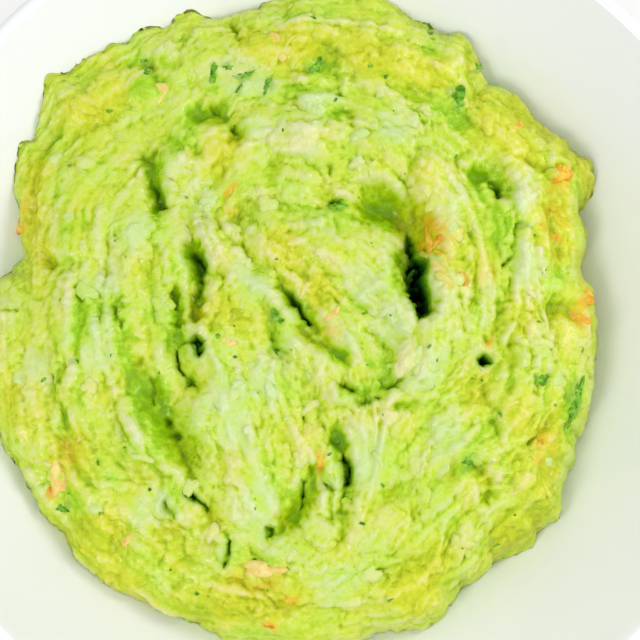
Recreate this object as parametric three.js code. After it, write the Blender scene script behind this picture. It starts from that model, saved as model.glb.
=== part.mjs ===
// Guacamole heaped in a round white bowl. Millimetres, +Z up.
// The origin is the centre of the foot ring's underside, where the bowl stands on a table.
import * as THREE from "three";

// Bowl: a wide stoneware bowl on a foot ring, its inside one smooth curve.
const INSIDE_RADIUS = 108.4; // where the inside curve meets the lip: the rim is 224 across
const INSIDE_TOP = 57.2; // height there: the rim is 58 high
const WALL = 4;
const FLOOR_TOP = 7; // height of the inside floor
const FLOOR_RADIUS = 30; // flat part of the inside floor
const WALL_CURVE = 2.2; // power of the inside curve: 2 is a parabola, more is steeper at the rim
const FOOT_RADIUS = 46;
const FOOT_WIDTH = 5;

// Guacamole: a stirred heap, about level with the bowl's shoulder.
const HEAP_TOP = 45.5; // height of the heap's middle, before its folds
const HEAP_DROP = 4; // how much lower the heap lies at HEAP_RADIUS
const HEAP_RADIUS = 84;
const SHOULDER = 8; // power of the heap's shoulder: more is squarer
const LEAST_THICKNESS = 2.5;
const REST_GAP = 0.35; // between the heap and the bowl, square to the wall

// Distance from the axis to the heap's edge, every 15 degrees from +X towards +Y.
const EDGE_RADII = [
  73.3, 72, 82, 84, 85, 90, 91.5, 91, 93, 95, 91, 84.5,
  87, 87, 83, 84, 81.5, 81, 81, 76.5, 75, 77, 73, 72.5,
];

// Long rounded folds left by the spoon: start, bend and end in plan, half width and height.
const FOLDS = [
  { path: [[-61, 38], [-67, -2], [-57, -30]], halfWidth: 8, height: 2.5 }, // outer left
  { path: [[-50, 15], [-54, -20], [-33, -46]], halfWidth: 6, height: 3 }, // inner left
  { path: [[-24, 3], [-24, -24], [-18, -44]], halfWidth: 13, height: 3.5 }, // broad lobe, left of the middle
  { path: [[-29, 24], [-11, 0], [9, -25]], halfWidth: 5, height: 2.5 }, // diagonal across the middle
  { path: [[-14, 24], [10, 21], [23, 4]], halfWidth: 9, height: 3.5 }, // tongue beside the crater
  { path: [[29, 41], [38, 18], [25, -11]], halfWidth: 7, height: 3.5 }, // far side of the crater
  { path: [[-39, 41], [-12, 60], [17, 45]], halfWidth: 9, height: 3 }, // arc at the back
  { path: [[50, 41], [58, 12], [49, -20]], halfWidth: 7, height: 2.5 }, // outer right
  { path: [[-7, -59], [20, -56], [39, -38]], halfWidth: 9, height: 2.5 }, // front
  { path: [[-37, 71], [-7, 82], [25, 71]], halfWidth: 8, height: 2 }, // back edge
  { path: [[-66, 57], [-60, 63], [-50, 65]], halfWidth: 7, height: 2.5 }, // lump, back left
];

// Hollows between the folds: the deepest line in plan, half width and depth.
const HOLLOWS = [
  { path: [[17, 32], [22, 29], [24, 22]], halfWidth: 10, depth: 12 }, // crater
  { path: [[24, 22], [20, 11], [26, 4]], halfWidth: 8, depth: 16 }, // the crater's deep end
  { path: [[44, 43], [46, 39], [47, 35]], halfWidth: 8, depth: 9 }, // hole, right of the crater
  { path: [[-44, 42], [-42, 37], [-42, 32]], halfWidth: 7, depth: 6 },
  { path: [[-30, 19], [-31, 12], [-31, 4]], halfWidth: 7, depth: 6 },
  { path: [[-38, 7], [-37, -5], [-33, -13]], halfWidth: 7.5, depth: 6 },
  { path: [[-47, -15], [-42, -21], [-36, -31]], halfWidth: 9, depth: 6 }, // wide valley
  { path: [[-9, 9], [-4, 1], [4, -7]], halfWidth: 7, depth: 5.5 },
  { path: [[5, -16], [11, -20], [20, -15]], halfWidth: 6, depth: 4 },
  { path: [[6, -31], [7, -36], [7, -41]], halfWidth: 7, depth: 6.5 },
  { path: [[-4, -39], [-4, -45], [-8, -50]], halfWidth: 7, depth: 6 },
  { path: [[-34, -43], [-31, -45], [-29, -47]], halfWidth: 7, depth: 4 },
  { path: [[-23, -55], [-23, -58], [-24, -61]], halfWidth: 7, depth: 4 },
  { path: [[60, 7], [63, 7], [65, 5]], halfWidth: 8, depth: 4 },
  { path: [[-28, 57], [-24, 55], [-22, 51]], halfWidth: 9, depth: 3 }, // dip behind the back arc
];

// Mesh fineness.
const BOWL_SEGMENTS = 84;
const WALL_STEPS = 8; // along the wall, each side
const LIP_STEPS = 4;
const TOP_CELLS = 46; // across the square grid that is bent into the heap's top
const UNDERSIDE_RINGS = 4;
const EDGE_CROWDING = 0.7; // radians of a sine: more crowds the grid towards the heap's edge
const FOLD_STEPS = 24; // points along a fold or hollow
const GRID_SIDE = TOP_CELLS + 1; // points along a side of the square grid

const GLAZE = new THREE.MeshStandardMaterial({ color: 0xf3f5f0, roughness: 0.12, metalness: 0 });
const MASH = new THREE.MeshStandardMaterial({ color: 0xc4d860, roughness: 0.4, metalness: 0 });

// Height of the bowl's inside at a distance from the axis.
function insideHeight(radius) {
  const along = Math.max(0, (radius - FLOOR_RADIUS) / (INSIDE_RADIUS - FLOOR_RADIUS));
  return FLOOR_TOP + (INSIDE_TOP - FLOOR_TOP) * along ** WALL_CURVE;
}

// Rise over run of the bowl's inside at a distance from the axis.
function insideSlope(radius) {
  const run = INSIDE_RADIUS - FLOOR_RADIUS;
  const along = Math.max(0, (radius - FLOOR_RADIUS) / run);
  return ((INSIDE_TOP - FLOOR_TOP) * WALL_CURVE * along ** (WALL_CURVE - 1)) / run;
}

// The point one wall thickness under the inside surface, square to it.
function outsidePoint(radius) {
  const slope = insideSlope(radius);
  const length = Math.hypot(slope, 1);
  return new THREE.Vector2(
    radius + (WALL * slope) / length,
    insideHeight(radius) - WALL / length,
  );
}

// Evenly spaced radii along the wall.
function wallRadii(from) {
  const step = (INSIDE_RADIUS - from) / WALL_STEPS;
  return Array.from({ length: WALL_STEPS + 1 }, (_, i) => from + i * step);
}

// The section of the bowl from the axis, under the foot, up the outside, over the lip and back.
function bowlProfile() {
  const points = [
    new THREE.Vector2(0, FLOOR_TOP - WALL),
    new THREE.Vector2(FOOT_RADIUS - FOOT_WIDTH, FLOOR_TOP - WALL),
    new THREE.Vector2(FOOT_RADIUS - FOOT_WIDTH, 0),
    new THREE.Vector2(FOOT_RADIUS, 0),
    ...wallRadii(FOOT_RADIUS).map(outsidePoint),
  ];
  const inner = new THREE.Vector2(INSIDE_RADIUS, insideHeight(INSIDE_RADIUS));
  const outer = outsidePoint(INSIDE_RADIUS);
  const centre = inner.clone().add(outer).multiplyScalar(0.5);
  const start = outer.clone().sub(centre).angle();
  for (let i = 1; i < LIP_STEPS; i += 1) {
    const angle = start + (Math.PI * i) / LIP_STEPS;
    points.push(new THREE.Vector2(Math.cos(angle), Math.sin(angle)).multiplyScalar(WALL / 2).add(centre));
  }
  for (const radius of wallRadii(FLOOR_RADIUS).reverse()) {
    points.push(new THREE.Vector2(radius, insideHeight(radius)));
  }
  points.push(new THREE.Vector2(0, FLOOR_TOP));
  return points;
}

function makeBowl() {
  const geometry = new THREE.LatheGeometry(bowlProfile(), BOWL_SEGMENTS);
  geometry.rotateX(Math.PI / 2);
  const bowl = new THREE.Mesh(geometry, GLAZE);
  bowl.name = "bowl";
  return bowl;
}

// Distance from the axis to the heap's edge: a smooth closed curve through EDGE_RADII.
function edgeRadius(angle) {
  const count = EDGE_RADII.length;
  const place = (angle / (2 * Math.PI)) * count;
  const before = Math.floor(place);
  const t = place - before;
  const [a, b, c, d] = [-1, 0, 1, 2].map((k) => EDGE_RADII[(before + k + count) % count]);
  return (
    b +
    0.5 * t * (c - a + t * (2 * a - 5 * b + 4 * c - d + t * (3 * b - a - 3 * c + d)))
  );
}

// A fold or hollow as points along its bend, ready for distance tests.
function withLine(feature) {
  const [start, bend, end] = feature.path.map(([x, y]) => new THREE.Vector2(x, y));
  const line = new THREE.QuadraticBezierCurve(start, bend, end).getPoints(FOLD_STEPS);
  return { ...feature, line };
}

const folds = FOLDS.map(withLine);
const hollows = HOLLOWS.map(withLine);

// 1 on the line of a fold or hollow, falling smoothly to 0 at its half width.
function nearness(point, { line, halfWidth }) {
  const distance = Math.min(...line.map((p) => p.distanceTo(point)));
  const share = Math.max(0, 1 - (distance / halfWidth) ** 2);
  return share * share;
}

// Height of the heap's surface at an angle and a share of the way out to its edge.
function heapHeight(angle, share) {
  const edge = edgeRadius(angle);
  const radius = edge * share;
  const point = new THREE.Vector2(radius * Math.cos(angle), radius * Math.sin(angle));
  const crown = HEAP_TOP - HEAP_DROP * (radius / HEAP_RADIUS) ** 2;
  const fold = Math.max(...folds.map((f) => f.height * nearness(point, f)));
  const hollow = Math.max(...hollows.map((h) => h.depth * nearness(point, h)));
  const shoulder = Math.sqrt(1 - share ** SHOULDER);
  const foot = restHeight(edge);
  const height = foot + (crown + fold - foot) * shoulder - hollow;
  return Math.max(height, restHeight(radius) + LEAST_THICKNESS * shoulder);
}

// Height of the heap's underside, which follows the straight facets of the bowl's inside.
function restHeight(radius) {
  const step = (INSIDE_RADIUS - FLOOR_RADIUS) / WALL_STEPS;
  const facet = Math.max(0, (radius - FLOOR_RADIUS) / step);
  const low = FLOOR_RADIUS + Math.floor(facet) * step;
  const chord = THREE.MathUtils.lerp(insideHeight(low), insideHeight(low + step), facet % 1);
  return chord + REST_GAP * Math.hypot(insideSlope(radius), 1);
}

// The point of the heap's top at a place in the square from -1 to 1: each square round the
// middle becomes a ring of the outline's shape, so the cells keep about one size.
function topPoint(u, v) {
  const square = Math.max(Math.abs(u), Math.abs(v));
  const share = Math.sin(square * EDGE_CROWDING) / Math.sin(EDGE_CROWDING);
  const sideways = Math.abs(v) > Math.abs(u);
  const quarter = (Math.PI / 4) * (square === 0 ? 0 : sideways ? -u / v : v / u);
  const turned = sideways ? quarter + Math.PI / 2 : quarter;
  const angle = (sideways ? v : u) < 0 ? turned + Math.PI : turned;
  const radius = edgeRadius(angle) * share;
  return [radius * Math.cos(angle), radius * Math.sin(angle), heapHeight(angle, share)];
}

// The two triangles of a grid cell, cut along its more level diagonal, which keeps the edges of
// the folds clean.
function cellFaces(corners, vertices) {
  const [p, q, r, t] = corners.map((index) => vertices[index][2]);
  const shift = Math.abs(p - r) < Math.abs(q - t) ? 0 : 1;
  const [a, b, c, d] = corners.map((_, k) => corners[(k + shift) % corners.length]);
  return [a, b, c, a, c, d];
}

// Adds the heap's top: the square grid, row by row.
function addTop(vertices, faces) {
  for (let j = 0; j < GRID_SIDE; j += 1) {
    for (let i = 0; i < GRID_SIDE; i += 1) {
      vertices.push(topPoint((2 * i) / TOP_CELLS - 1, (2 * j) / TOP_CELLS - 1));
    }
  }
  for (let j = 0; j < TOP_CELLS; j += 1) {
    for (let i = 0; i < TOP_CELLS; i += 1) {
      const near = j * GRID_SIDE + i;
      const far = near + GRID_SIDE;
      faces.push(...cellFaces([near, near + 1, far + 1, far], vertices));
    }
  }
}

// The square grid's border points in order, starting at the corner (-1, -1).
function borderIndices() {
  const side = Array.from({ length: TOP_CELLS }, (_, i) => i);
  const places = [
    ...side.map((i) => [i, 0]),
    ...side.map((i) => [TOP_CELLS, i]),
    ...side.map((i) => [TOP_CELLS - i, TOP_CELLS]),
    ...side.map((i) => [0, TOP_CELLS - i]),
  ];
  return places.map(([i, j]) => j * GRID_SIDE + i);
}

// Adds the heap's underside: rings from the top's outline in to the axis, on the bowl's inside.
function addUnderside(vertices, faces) {
  let outer = borderIndices();
  const outline = outer.map((index) => vertices[index]);
  for (let k = UNDERSIDE_RINGS - 1; k >= 0; k -= 1) {
    const share = k / UNDERSIDE_RINGS;
    const first = vertices.length;
    const inner = outline.map((_, i) => first + (k === 0 ? 0 : i));
    const count = k === 0 ? 1 : outline.length;
    for (const [x, y] of outline.slice(0, count)) {
      vertices.push([x * share, y * share, restHeight(Math.hypot(x, y) * share)]);
    }
    outline.forEach((_, i) => {
      const next = (i + 1) % outline.length;
      faces.push(outer[next], outer[i], inner[i]);
      if (k > 0) {
        faces.push(outer[next], inner[i], inner[next]);
      }
    });
    outer = inner;
  }
}

function makeHeap() {
  const vertices = [];
  const faces = [];
  addTop(vertices, faces);
  addUnderside(vertices, faces);
  const geometry = new THREE.BufferGeometry();
  geometry.setAttribute("position", new THREE.Float32BufferAttribute(vertices.flat(), 3));
  geometry.setIndex(faces);
  geometry.computeVertexNormals();
  const heap = new THREE.Mesh(geometry, MASH);
  heap.name = "guacamole";
  return heap;
}

const group = new THREE.Group();
group.add(makeBowl(), makeHeap());

export default group;
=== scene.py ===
"""Guacamole heaped in a round white bowl, laid out as a Blender add-on.

The bowl is one turned shell. The guacamole is one closed surface: a low crown with a round
shoulder, carried over a square grid that is bent into the heap's outline, and pushed out along
its own normal by a relief. The relief is a height in millimetres over the plan, worked out on a
raster: spoon folds and hollows, overlapping dollops that follow the way the spoon went, smeared
fibres, lumps and holes. Bits of avocado, tomato, herb and onion are small closed chunks set
into it.

Lengths are millimetres, as in the CAD part. What Blender is given is in metres, and so are the
named values of the stage.
"""
import math

import bpy
import numpy as np
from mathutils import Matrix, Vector


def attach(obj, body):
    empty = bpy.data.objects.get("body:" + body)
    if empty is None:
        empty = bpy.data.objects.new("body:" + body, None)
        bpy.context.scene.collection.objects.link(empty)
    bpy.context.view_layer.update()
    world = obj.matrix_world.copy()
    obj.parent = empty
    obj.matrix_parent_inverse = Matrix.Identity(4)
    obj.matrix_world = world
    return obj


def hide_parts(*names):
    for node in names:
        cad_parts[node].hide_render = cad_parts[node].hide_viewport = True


bl_info = {
    "name": "Guacamole in a bowl",
    "version": (1, 0, 0),
    "blender": (4, 5, 0),
    "location": "3D View > Sidebar > Guacamole",
    "description": "Builds guacamole heaped in a round white bowl, and a stage to show it on",
    "category": "Object",
}

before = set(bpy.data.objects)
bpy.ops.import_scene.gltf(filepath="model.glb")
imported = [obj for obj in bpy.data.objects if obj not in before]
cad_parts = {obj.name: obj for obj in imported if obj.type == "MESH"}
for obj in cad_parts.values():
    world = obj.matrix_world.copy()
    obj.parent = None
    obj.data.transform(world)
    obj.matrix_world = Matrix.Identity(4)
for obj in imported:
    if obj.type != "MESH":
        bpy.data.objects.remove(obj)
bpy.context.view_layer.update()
MM = 0.001

# ---------------------------------------------------------------- the bowl's dimensions

WALL = 4.0
INSIDE_RADIUS = 108.4  # where the inside curve meets the lip
INSIDE_TOP = 57.2  # height there
FLOOR_TOP = 7.0  # height of the inside floor
FLOOR_RADIUS = 30.0  # flat part of the inside floor
WALL_CURVE = 2.2  # power of the inside curve
FOOT_RADIUS = 46.0
FOOT_WIDTH = 5.0
FOOT_ROUND = 1.0  # radius of the foot ring's edges
UNDERSIDE = FLOOR_TOP - WALL  # height of the underside within the foot ring
FOOT_CORNER = 1.2  # width of the hollow corner between the foot ring and the outside
CORNER_POINT = (0.3, 1.9)  # in that corner, out from the foot ring and up from the underside
INNER_CORNER = 0.6  # width of the corner inside the foot ring
CENTRE_RING = 4.0  # radius of the ring of points nearest the axis
FLAT_RINGS = (31.0, 20.0, CENTRE_RING)  # radii of the points across the underside
FLOOR_RINGS = 6  # rings of points across the inside floor
WALL_RINGS = 48  # and up the inside curve
LIP_POINTS = 12  # along the lip's half circle
FOOT_POINTS = 6  # along each rounded edge of the foot ring
BOWL_SEGMENTS = 256

# ---------------------------------------------------------------- the heap's dimensions

HEAP_TOP = 45.5  # height of the heap's middle, before its folds
HEAP_DROP = 4.0  # how much lower the heap lies at HEAP_RADIUS
HEAP_RADIUS = 84.0
SHOULDER = 8.0  # power of the heap's shoulder: more is squarer
SIDE_HEIGHT = 15.0  # usual height of the heap's side
CONTACT = 0.03  # between the heap's underside and the glaze
CLEARANCE = 0.3  # least height over the glaze at the heap's middle, falling to 0 at its edge
UNDER_RINGS = 5  # rings of faces that close the heap underneath
SECTION_POINTS = 4001  # where the heap's section is measured

# Distance from the axis to the heap's edge, every 15 degrees from +X towards +Y.
EDGE_RADII = [
    73.3, 72, 82, 84, 85, 90, 91.5, 91, 93, 95, 91, 84.5,
    87, 87, 83, 84, 81.5, 81, 81, 76.5, 75, 77, 73, 72.5,
]

# Lumps and dents of the heap's edge between those: direction and half width in degrees, height.
EDGE_LUMPS = [
    (5, 3, 1.0), (10, 2.5, 1.0), (25, 4, -0.8), (40, 3, -1.6), (47, 4, -2.2), (62, 4, -0.8),
    (70, 4, -1.2), (110, 8, -3.2), (126, 5, -2.8), (147, 4, -1.6), (163, 6, -3.4), (210, 5, 1.8),
    (290, 7, 4.2), (309, 5, -1.4), (323, 5, 3.2), (346, 3, 1.2), (26, 1.5, -2.0), (33, 2.4, 2.6),
    (57, 2.2, -2.4), (64, 2.6, 3.4), (112, 2.4, 3.2), (126, 1.6, 2.2), (137, 2.4, 3.4),
    (148, 1.8, 2.2), (319, 3, -2.8),
]

# Which way the spoon went: place in plan and direction in degrees from +X.
FLOW = [
    (72, 0, 90), (51, 51, 135), (0, 80, 0), (-60, 60, 45), (-84, 0, 90), (-62, -55, 130),
    (0, -80, 0), (55, -55, 45), (-62, 10, 90), (-70, -10, 90), (-55, -35, 120), (-45, -50, 135),
    (-20, -62, 175), (10, -65, 10), (35, -52, 40), (55, -30, 60), (60, 0, 90), (57, 25, 100),
    (50, 45, 120), (30, 60, 155), (10, 75, 175), (-10, 85, 180), (-35, 75, 25), (-55, 60, 45),
    (-45, 0, 100), (-45, -20, 115), (-38, -38, 130), (-24, -10, 105), (-20, -35, 105),
    (-20, 15, 123), (-12, 0, 123), (5, -20, 123), (0, 22, 0), (15, 15, 140), (24, 2, 130),
    (0, 45, 160), (-25, 45, 50), (0, 57, 0), (17, 45, 140), (36, 20, 95), (30, 0, 65),
    (24, -15, 40), (5, -45, 100), (25, -45, 50),
]

# Long rounded folds: start, bend and end in plan, half width and height.
FOLDS = [
    ([(-61, 38), (-67, -2), (-57, -30)], 8, 2.5),  # outer left
    ([(-50, 15), (-54, -20), (-33, -46)], 6, 3.0),  # inner left
    ([(-24, 3), (-24, -24), (-18, -44)], 13, 3.5),  # broad lobe, left of the middle
    ([(-29, 24), (-11, 0), (9, -25)], 5, 2.5),  # diagonal across the middle
    ([(-14, 24), (10, 21), (23, 4)], 9, 3.5),  # tongue beside the crater
    ([(29, 41), (38, 18), (25, -11)], 7, 3.5),  # far side of the crater
    ([(-39, 41), (-12, 60), (17, 45)], 9, 3.0),  # arc at the back
    ([(50, 41), (58, 12), (49, -20)], 7, 2.5),  # outer right
    ([(-7, -59), (20, -56), (39, -38)], 9, 2.5),  # front
    ([(-37, 71), (-7, 82), (25, 71)], 8, 2.0),  # back edge
    ([(-66, 57), (-60, 63), (-50, 65)], 7, 2.5),  # lump, back left
]

# Hollows with sloping sides: start, bend and end in plan, half width, depth.
HOLLOWS = [
    ([(14, 32), (22, 31), (25, 22)], 8.5, 6.0),  # crater
    ([(24, 24), (20, 11), (27, 5)], 5.5, 6.0),
    ([(41, 40), (46, 43), (48, 36)], 5.0, 4.0),  # hole, right of the crater
    ([(-44, 44), (-42, 37), (-42, 32)], 4.6, 4.1),
    ([(-32.5, 20), (-30, 16), (-32, 3)], 4.6, 4.4),
    ([(-38, 9), (-36, 5), (-36, 1)], 3.7, 3.8),
    ([(-36, -3), (-36, -10), (-32, -15)], 5.2, 2.6),
    ([(-47, -13), (-42, -21), (-35, -32)], 8.0, 3.5),  # wide valley
    ([(-52, 7), (-53, 3), (-50, -3)], 2.6, 1.5),
    ([(-50, -2), (-50, -12), (-46, -20)], 3.9, 1.0),
    ([(-62, 9), (-59, -1), (-66, -13)], 3.1, 1.3),
    ([(-67, -12), (-71, -20), (-68, -36)], 2.6, 0.9),
    ([(-70, 17), (-67, 17), (-64, 16)], 3.4, 1.5),
    ([(-76, 33), (-74, 48), (-68, 56)], 2.9, 1.3),
    ([(-39, 49), (-36, 48), (-32, 45)], 3.1, 1.3),
    ([(-31, 57), (-24, 57), (-22, 50)], 5.5, 3.0),  # dip behind the back arc
    ([(-50, 71), (-44, 72), (-38, 71)], 3.1, 1.5),
    ([(-24, 84), (-23, 82), (-22, 78)], 3.1, 1.5),
    ([(4, 56), (6, 59), (8, 55)], 2.6, 1.2),
    ([(1, 35), (3, 32), (7, 32)], 3.6, 1.5),
    ([(-10, 10), (-5, 5), (-1, -1)], 3.9, 2.6),
    ([(-5, -1), (-1, -4), (6, -8)], 4.1, 2.2),
    ([(-15, 6), (-12, 2), (-11, -7)], 3.1, 1.3),
    ([(3, -14), (9, -21), (21, -14)], 3.9, 1.5),
    ([(12, -1), (17, -5), (19, -9)], 2.3, 1.0),
    ([(19, -21), (21, -21), (24, -20)], 2.1, 1.2),
    ([(51, 28), (49, 10), (43, -3)], 2.9, 1.3),
    ([(48.5, -5), (49, -10), (48, -16)], 2.6, 1.1),
    ([(59, 6), (63, 7), (66, 5)], 5.0, 2.6),
    ([(36, 24), (36, 21), (36, 18)], 2.9, 1.2),
    ([(-67, -28), (-67, -32), (-69, -36)], 2.6, 1.2),
    ([(-44, -31), (-42, -35), (-38, -39)], 2.9, 1.4),
    ([(-38, -40), (-30, -46), (-24, -52)], 3.1, 1.3),
    ([(4, -29), (8, -34), (7, -43)], 3.7, 3.4),
    ([(-2, -37), (-1, -44), (-9, -50)], 4.8, 3.4),
    ([(-14, -32), (-13, -38), (-9, -44)], 2.3, 1.0),
    ([(52, -31), (56, -28), (60, -24)], 2.6, 1.3),
    ([(39, -36), (43, -38), (42, -43)], 3.9, 2.4),
    ([(50, -33), (46, -35), (43, -36)], 2.6, 1.0),
    ([(34, -50), (34, -55), (32, -60)], 3.1, 1.2),
    ([(6, -48), (6, -52), (4, -56)], 2.6, 1.0),
    ([(-28, -50), (-20, -52), (-12, -50)], 2.6, 0.9),
    ([(40, 78), (38, 72), (42, 65)], 2.9, 1.1),
    ([(52, 45), (56, 42), (63, 43)], 2.3, 1.1),
    ([(0, 50), (12, 48), (18, 40)], 3.9, 0.8),
    ([(-12, 42), (-14, 34), (-8, 24)], 3.4, 0.9),
    ([(-20, 34), (-22, 24), (-16, 14)], 2.9, 0.9),
]

# Holes with steep dark sides: start, bend and end in plan, half width, depth.
HOLES = [
    ([(23, 24), (24, 21), (24.5, 15)], 1.6, 6.0),  # into the crater's deep end
    ([(25, 16), (24, 11), (25.5, 7.5)], 3.2, 14.0),
    ([(24.5, 13), (25.5, 8), (26.3, 3.2)], 2.4, 13.0),
    ([(44.5, 38), (46, 38.5), (47.5, 38)], 1.5, 3.0),
    ([(46, 38), (47, 37), (46.5, 35)], 1.6, 4.0),
    ([(-43, 38), (-42, 36), (-41, 32)], 1.9, 3.2),
    ([(-31.8, 19), (-31.3, 17.5), (-30.6, 15.5)], 2.3, 6.5),
    ([(-30.5, 13), (-31, 9), (-30.5, 5)], 1.5, 2.4),
    ([(-37, -6), (-37, -12), (-32, -15)], 1.0, 3.0),  # arc round a lump
    ([(-36.5, -5), (-34, -4), (-31.5, -3)], 0.9, 2.4),
    ([(-31.5, -4), (-30.5, -5), (-30.5, -7)], 1.7, 9.0),
    ([(-43, -13), (-42, -16), (-43, -20)], 1.0, 1.8),
    ([(-39, -24), (-38, -26), (-36.5, -28.5)], 1.5, 2.5),
    ([(-52.5, 6), (-53, 3), (-51, 0)], 1.0, 1.8),
    ([(-23, 52.5), (-22.5, 52.5), (-21.5, 52)], 1.1, 2.1),
    ([(-28.5, 59), (-27.5, 58), (-26.5, 57)], 1.0, 1.8),
    ([(2, 41.8), (2.6, 41), (3, 40)], 0.8, 1.8),
    ([(2.5, 32.5), (4, 32.8), (5.5, 33)], 1.0, 2.4),
    ([(-8.5, 9), (-6.5, 6), (-3, 1)], 1.4, 4.5),
    ([(-12.5, -1.5), (-11.5, -4), (-11, -6)], 0.9, 1.8),
    ([(4, -15), (6, -17), (8.5, -16.8)], 1.1, 2.4),
    ([(8.5, -20.5), (11, -20), (15, -18.5)], 1.0, 2.7),
    ([(16, -16), (18.5, -16.2), (20.5, -14.5)], 1.1, 2.4),
    ([(47.5, 16), (48, 16.5), (49, 18)], 1.0, 2.4),
    ([(40.5, -9), (42, -8), (42.5, -9.5)], 1.6, 8.0),
    ([(51, 27), (50, 24), (50, 21)], 0.9, 1.2),
    ([(-34, -43), (-31, -43.5), (-28.5, -46.5)], 1.2, 4.0),
    ([(-39, -44.5), (-38.5, -47), (-36.5, -48)], 0.9, 1.8),
    ([(6.5, -34), (8, -37), (7, -40.5)], 1.3, 6.0),
    ([(-4.5, -40), (-5, -43), (-4, -45.5)], 1.2, 3.5),
    ([(-13, -51.5), (-12, -52), (-13, -53.5)], 1.2, 3.5),
    ([(-22.8, -55), (-22.5, -58), (-24, -60.5)], 1.1, 4.5),
    ([(1, -39.5), (2, -41), (3, -42)], 1.1, 1.8),
    ([(54, -29.5), (56, -28), (58.5, -25.5)], 0.9, 1.8),
    ([(-4, -24), (-4, -25), (-4, -26)], 0.9, 1.5),
    ([(-24, 83), (-23, 81.5), (-22, 80)], 1.0, 1.5),
    ([(29.5, 83), (30, 81), (30, 79.5)], 1.0, 1.5),
    ([(-79, 5), (-81, 5.2), (-83, 5.5)], 0.9, 1.5),
]

# Thin raised ribbons that the spoon pulled: start, bend and end in plan, half width, height.
RIDGES = [
    ([(-30, 38), (-29, 24), (-22, 10)], 1.3, 1.0),
    ([(-33, 30), (-27, 18), (-24, 6)], 1.1, 0.8),
    ([(-36, 44), (-31, 36), (-27, 26)], 1.2, 0.8),
    ([(-24, 26), (-12, 16), (0, 14)], 1.2, 0.9),
    ([(-22, 20), (-14, 12), (-8, 3)], 1.2, 0.8),
    ([(0, 14), (8, 11), (14, 4)], 1.1, 0.8),
    ([(-9, 25), (4, 28), (15, 25)], 1.2, 0.7),
    ([(-22, -7), (-19, -19), (-17, -30)], 1.2, 0.9),
    ([(-26, -12), (-24, -22), (-20, -36)], 1.3, 0.8),
    ([(-13, -12), (-12, -24), (-8, -34)], 1.1, 0.7),
    ([(-2, -7), (4, -20), (12, -29)], 1.3, 0.9),
    ([(-8, -19), (-3, -28), (0, -41)], 1.2, 0.8),
    ([(-57, 12), (-60, -12), (-40, -37)], 1.6, 1.1),
    ([(-50, -22), (-40, -38), (-24, -54)], 1.4, 1.0),
    ([(-63, 16), (-66, 0), (-62, -18)], 1.5, 0.9),
    ([(-46, 12), (-48, -2), (-43, -12)], 1.3, 0.8),
    ([(-55, 20), (-58, 4), (-52, -22)], 1.1, 0.7),
    ([(9, 44), (12, 36), (20, 37)], 1.2, 0.7),
    ([(30, 30), (34, 18), (30, 2)], 1.4, 0.9),
    ([(52, 22), (54, 6), (45, -6)], 1.4, 0.8),
    ([(56, 20), (60, 0), (55, -24)], 1.2, 0.7),
    ([(51, 40), (53, 22), (50, 6)], 1.2, 0.7),
    ([(-6, 52), (6, 50), (14, 42)], 1.2, 0.6),
    ([(-14, 56), (-4, 62), (8, 60)], 1.4, 0.7),
    ([(-4, 16), (8, 8), (16, -2)], 1.2, 0.6),
    ([(-35, 80), (-8, 86), (20, 80)], 1.5, 0.7),
    ([(14, -24), (24, -22), (36, -12)], 1.2, 0.7),
    ([(18, -40), (30, -36), (40, -26)], 1.2, 0.6),
]

# ---------------------------------------------------------------- the relief's raster

CELL = 0.3  # between the raster's points
HALF = 117.0  # from the axis to the raster's sides
AXIS = np.arange(-HALF, HALF + CELL / 2, CELL)
X, Y = np.meshgrid(AXIS, AXIS)
COLOUR_FIELDS = ("crease", "deep", "strand", "tomato", "herb", "milk", "green", "yellow")
NOISE_GAIN = 1.6  # brings smooth noise to about -1 to 1
FLOW_REACH = 13.0  # how far one direction in FLOW is felt
STREAM_STEP = 0.6  # of a walk along the spoon's way
BEND_POINTS = 16  # along each stroke
MARGIN = 3.0  # worked out round each shape: more than noise pushes its outline

# How far noise pushes outlines, and that noise's size, for its broad and its fine part.
FOLD_WARP = ((1.5, 6.0), (0.6, 2.0))
HOLE_WARP = ((0.6, 2.4), (0.3, 1.1))
DOLLOP_WARP = ((1.8, 5.0), (0.9, 1.9))

# Bumps of the heap's edge: height, size and seed of the noise.
EDGE_BUMPS = ((1.2, 9.0, 61), (0.5, 3.0, 62))

# Smeared fibres, from ribbons to hairs: size of the blobs that are smeared, and how far each way.
FIBRES = ((1.3, 15.0), (0.6, 11.0), (0.28, 7.0))

# Overlapping dollops: number, length, width, height, flatness of the top, and how far in radians
# they stray from the spoon's way.
DOLLOPS = [
    (230, 26.0, 10.0, 1.9, 4, 0.5),  # broad smears
    (600, 13.0, 4.0, 1.1, 4, 0.4),  # flakes
    (380, 18.0, 1.4, 1.0, 2, 0.15),  # thin strands
]
CRUMBS = (2200, 4.6, 2.0, 1.3, 3, 0.6)  # small lumps, in the same order
DOLLOP_REACH = 108.0  # radius of the disc that dollops are strewn over

# Shares that vary in patches over the plan: their middle and change, the noise's size and seed,
# and the least and most that they can be.
HOLE_PATCHES = (0.85, 0.9, 2.5, 71, 0.3, 1.2)
RIDGE_PATCHES = (0.7, 1.2, 6.0, 31, 0, 1.3)
STAIN_PATCHES = (0.65, 1.2, 3.0, 91, 0, 1)

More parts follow.
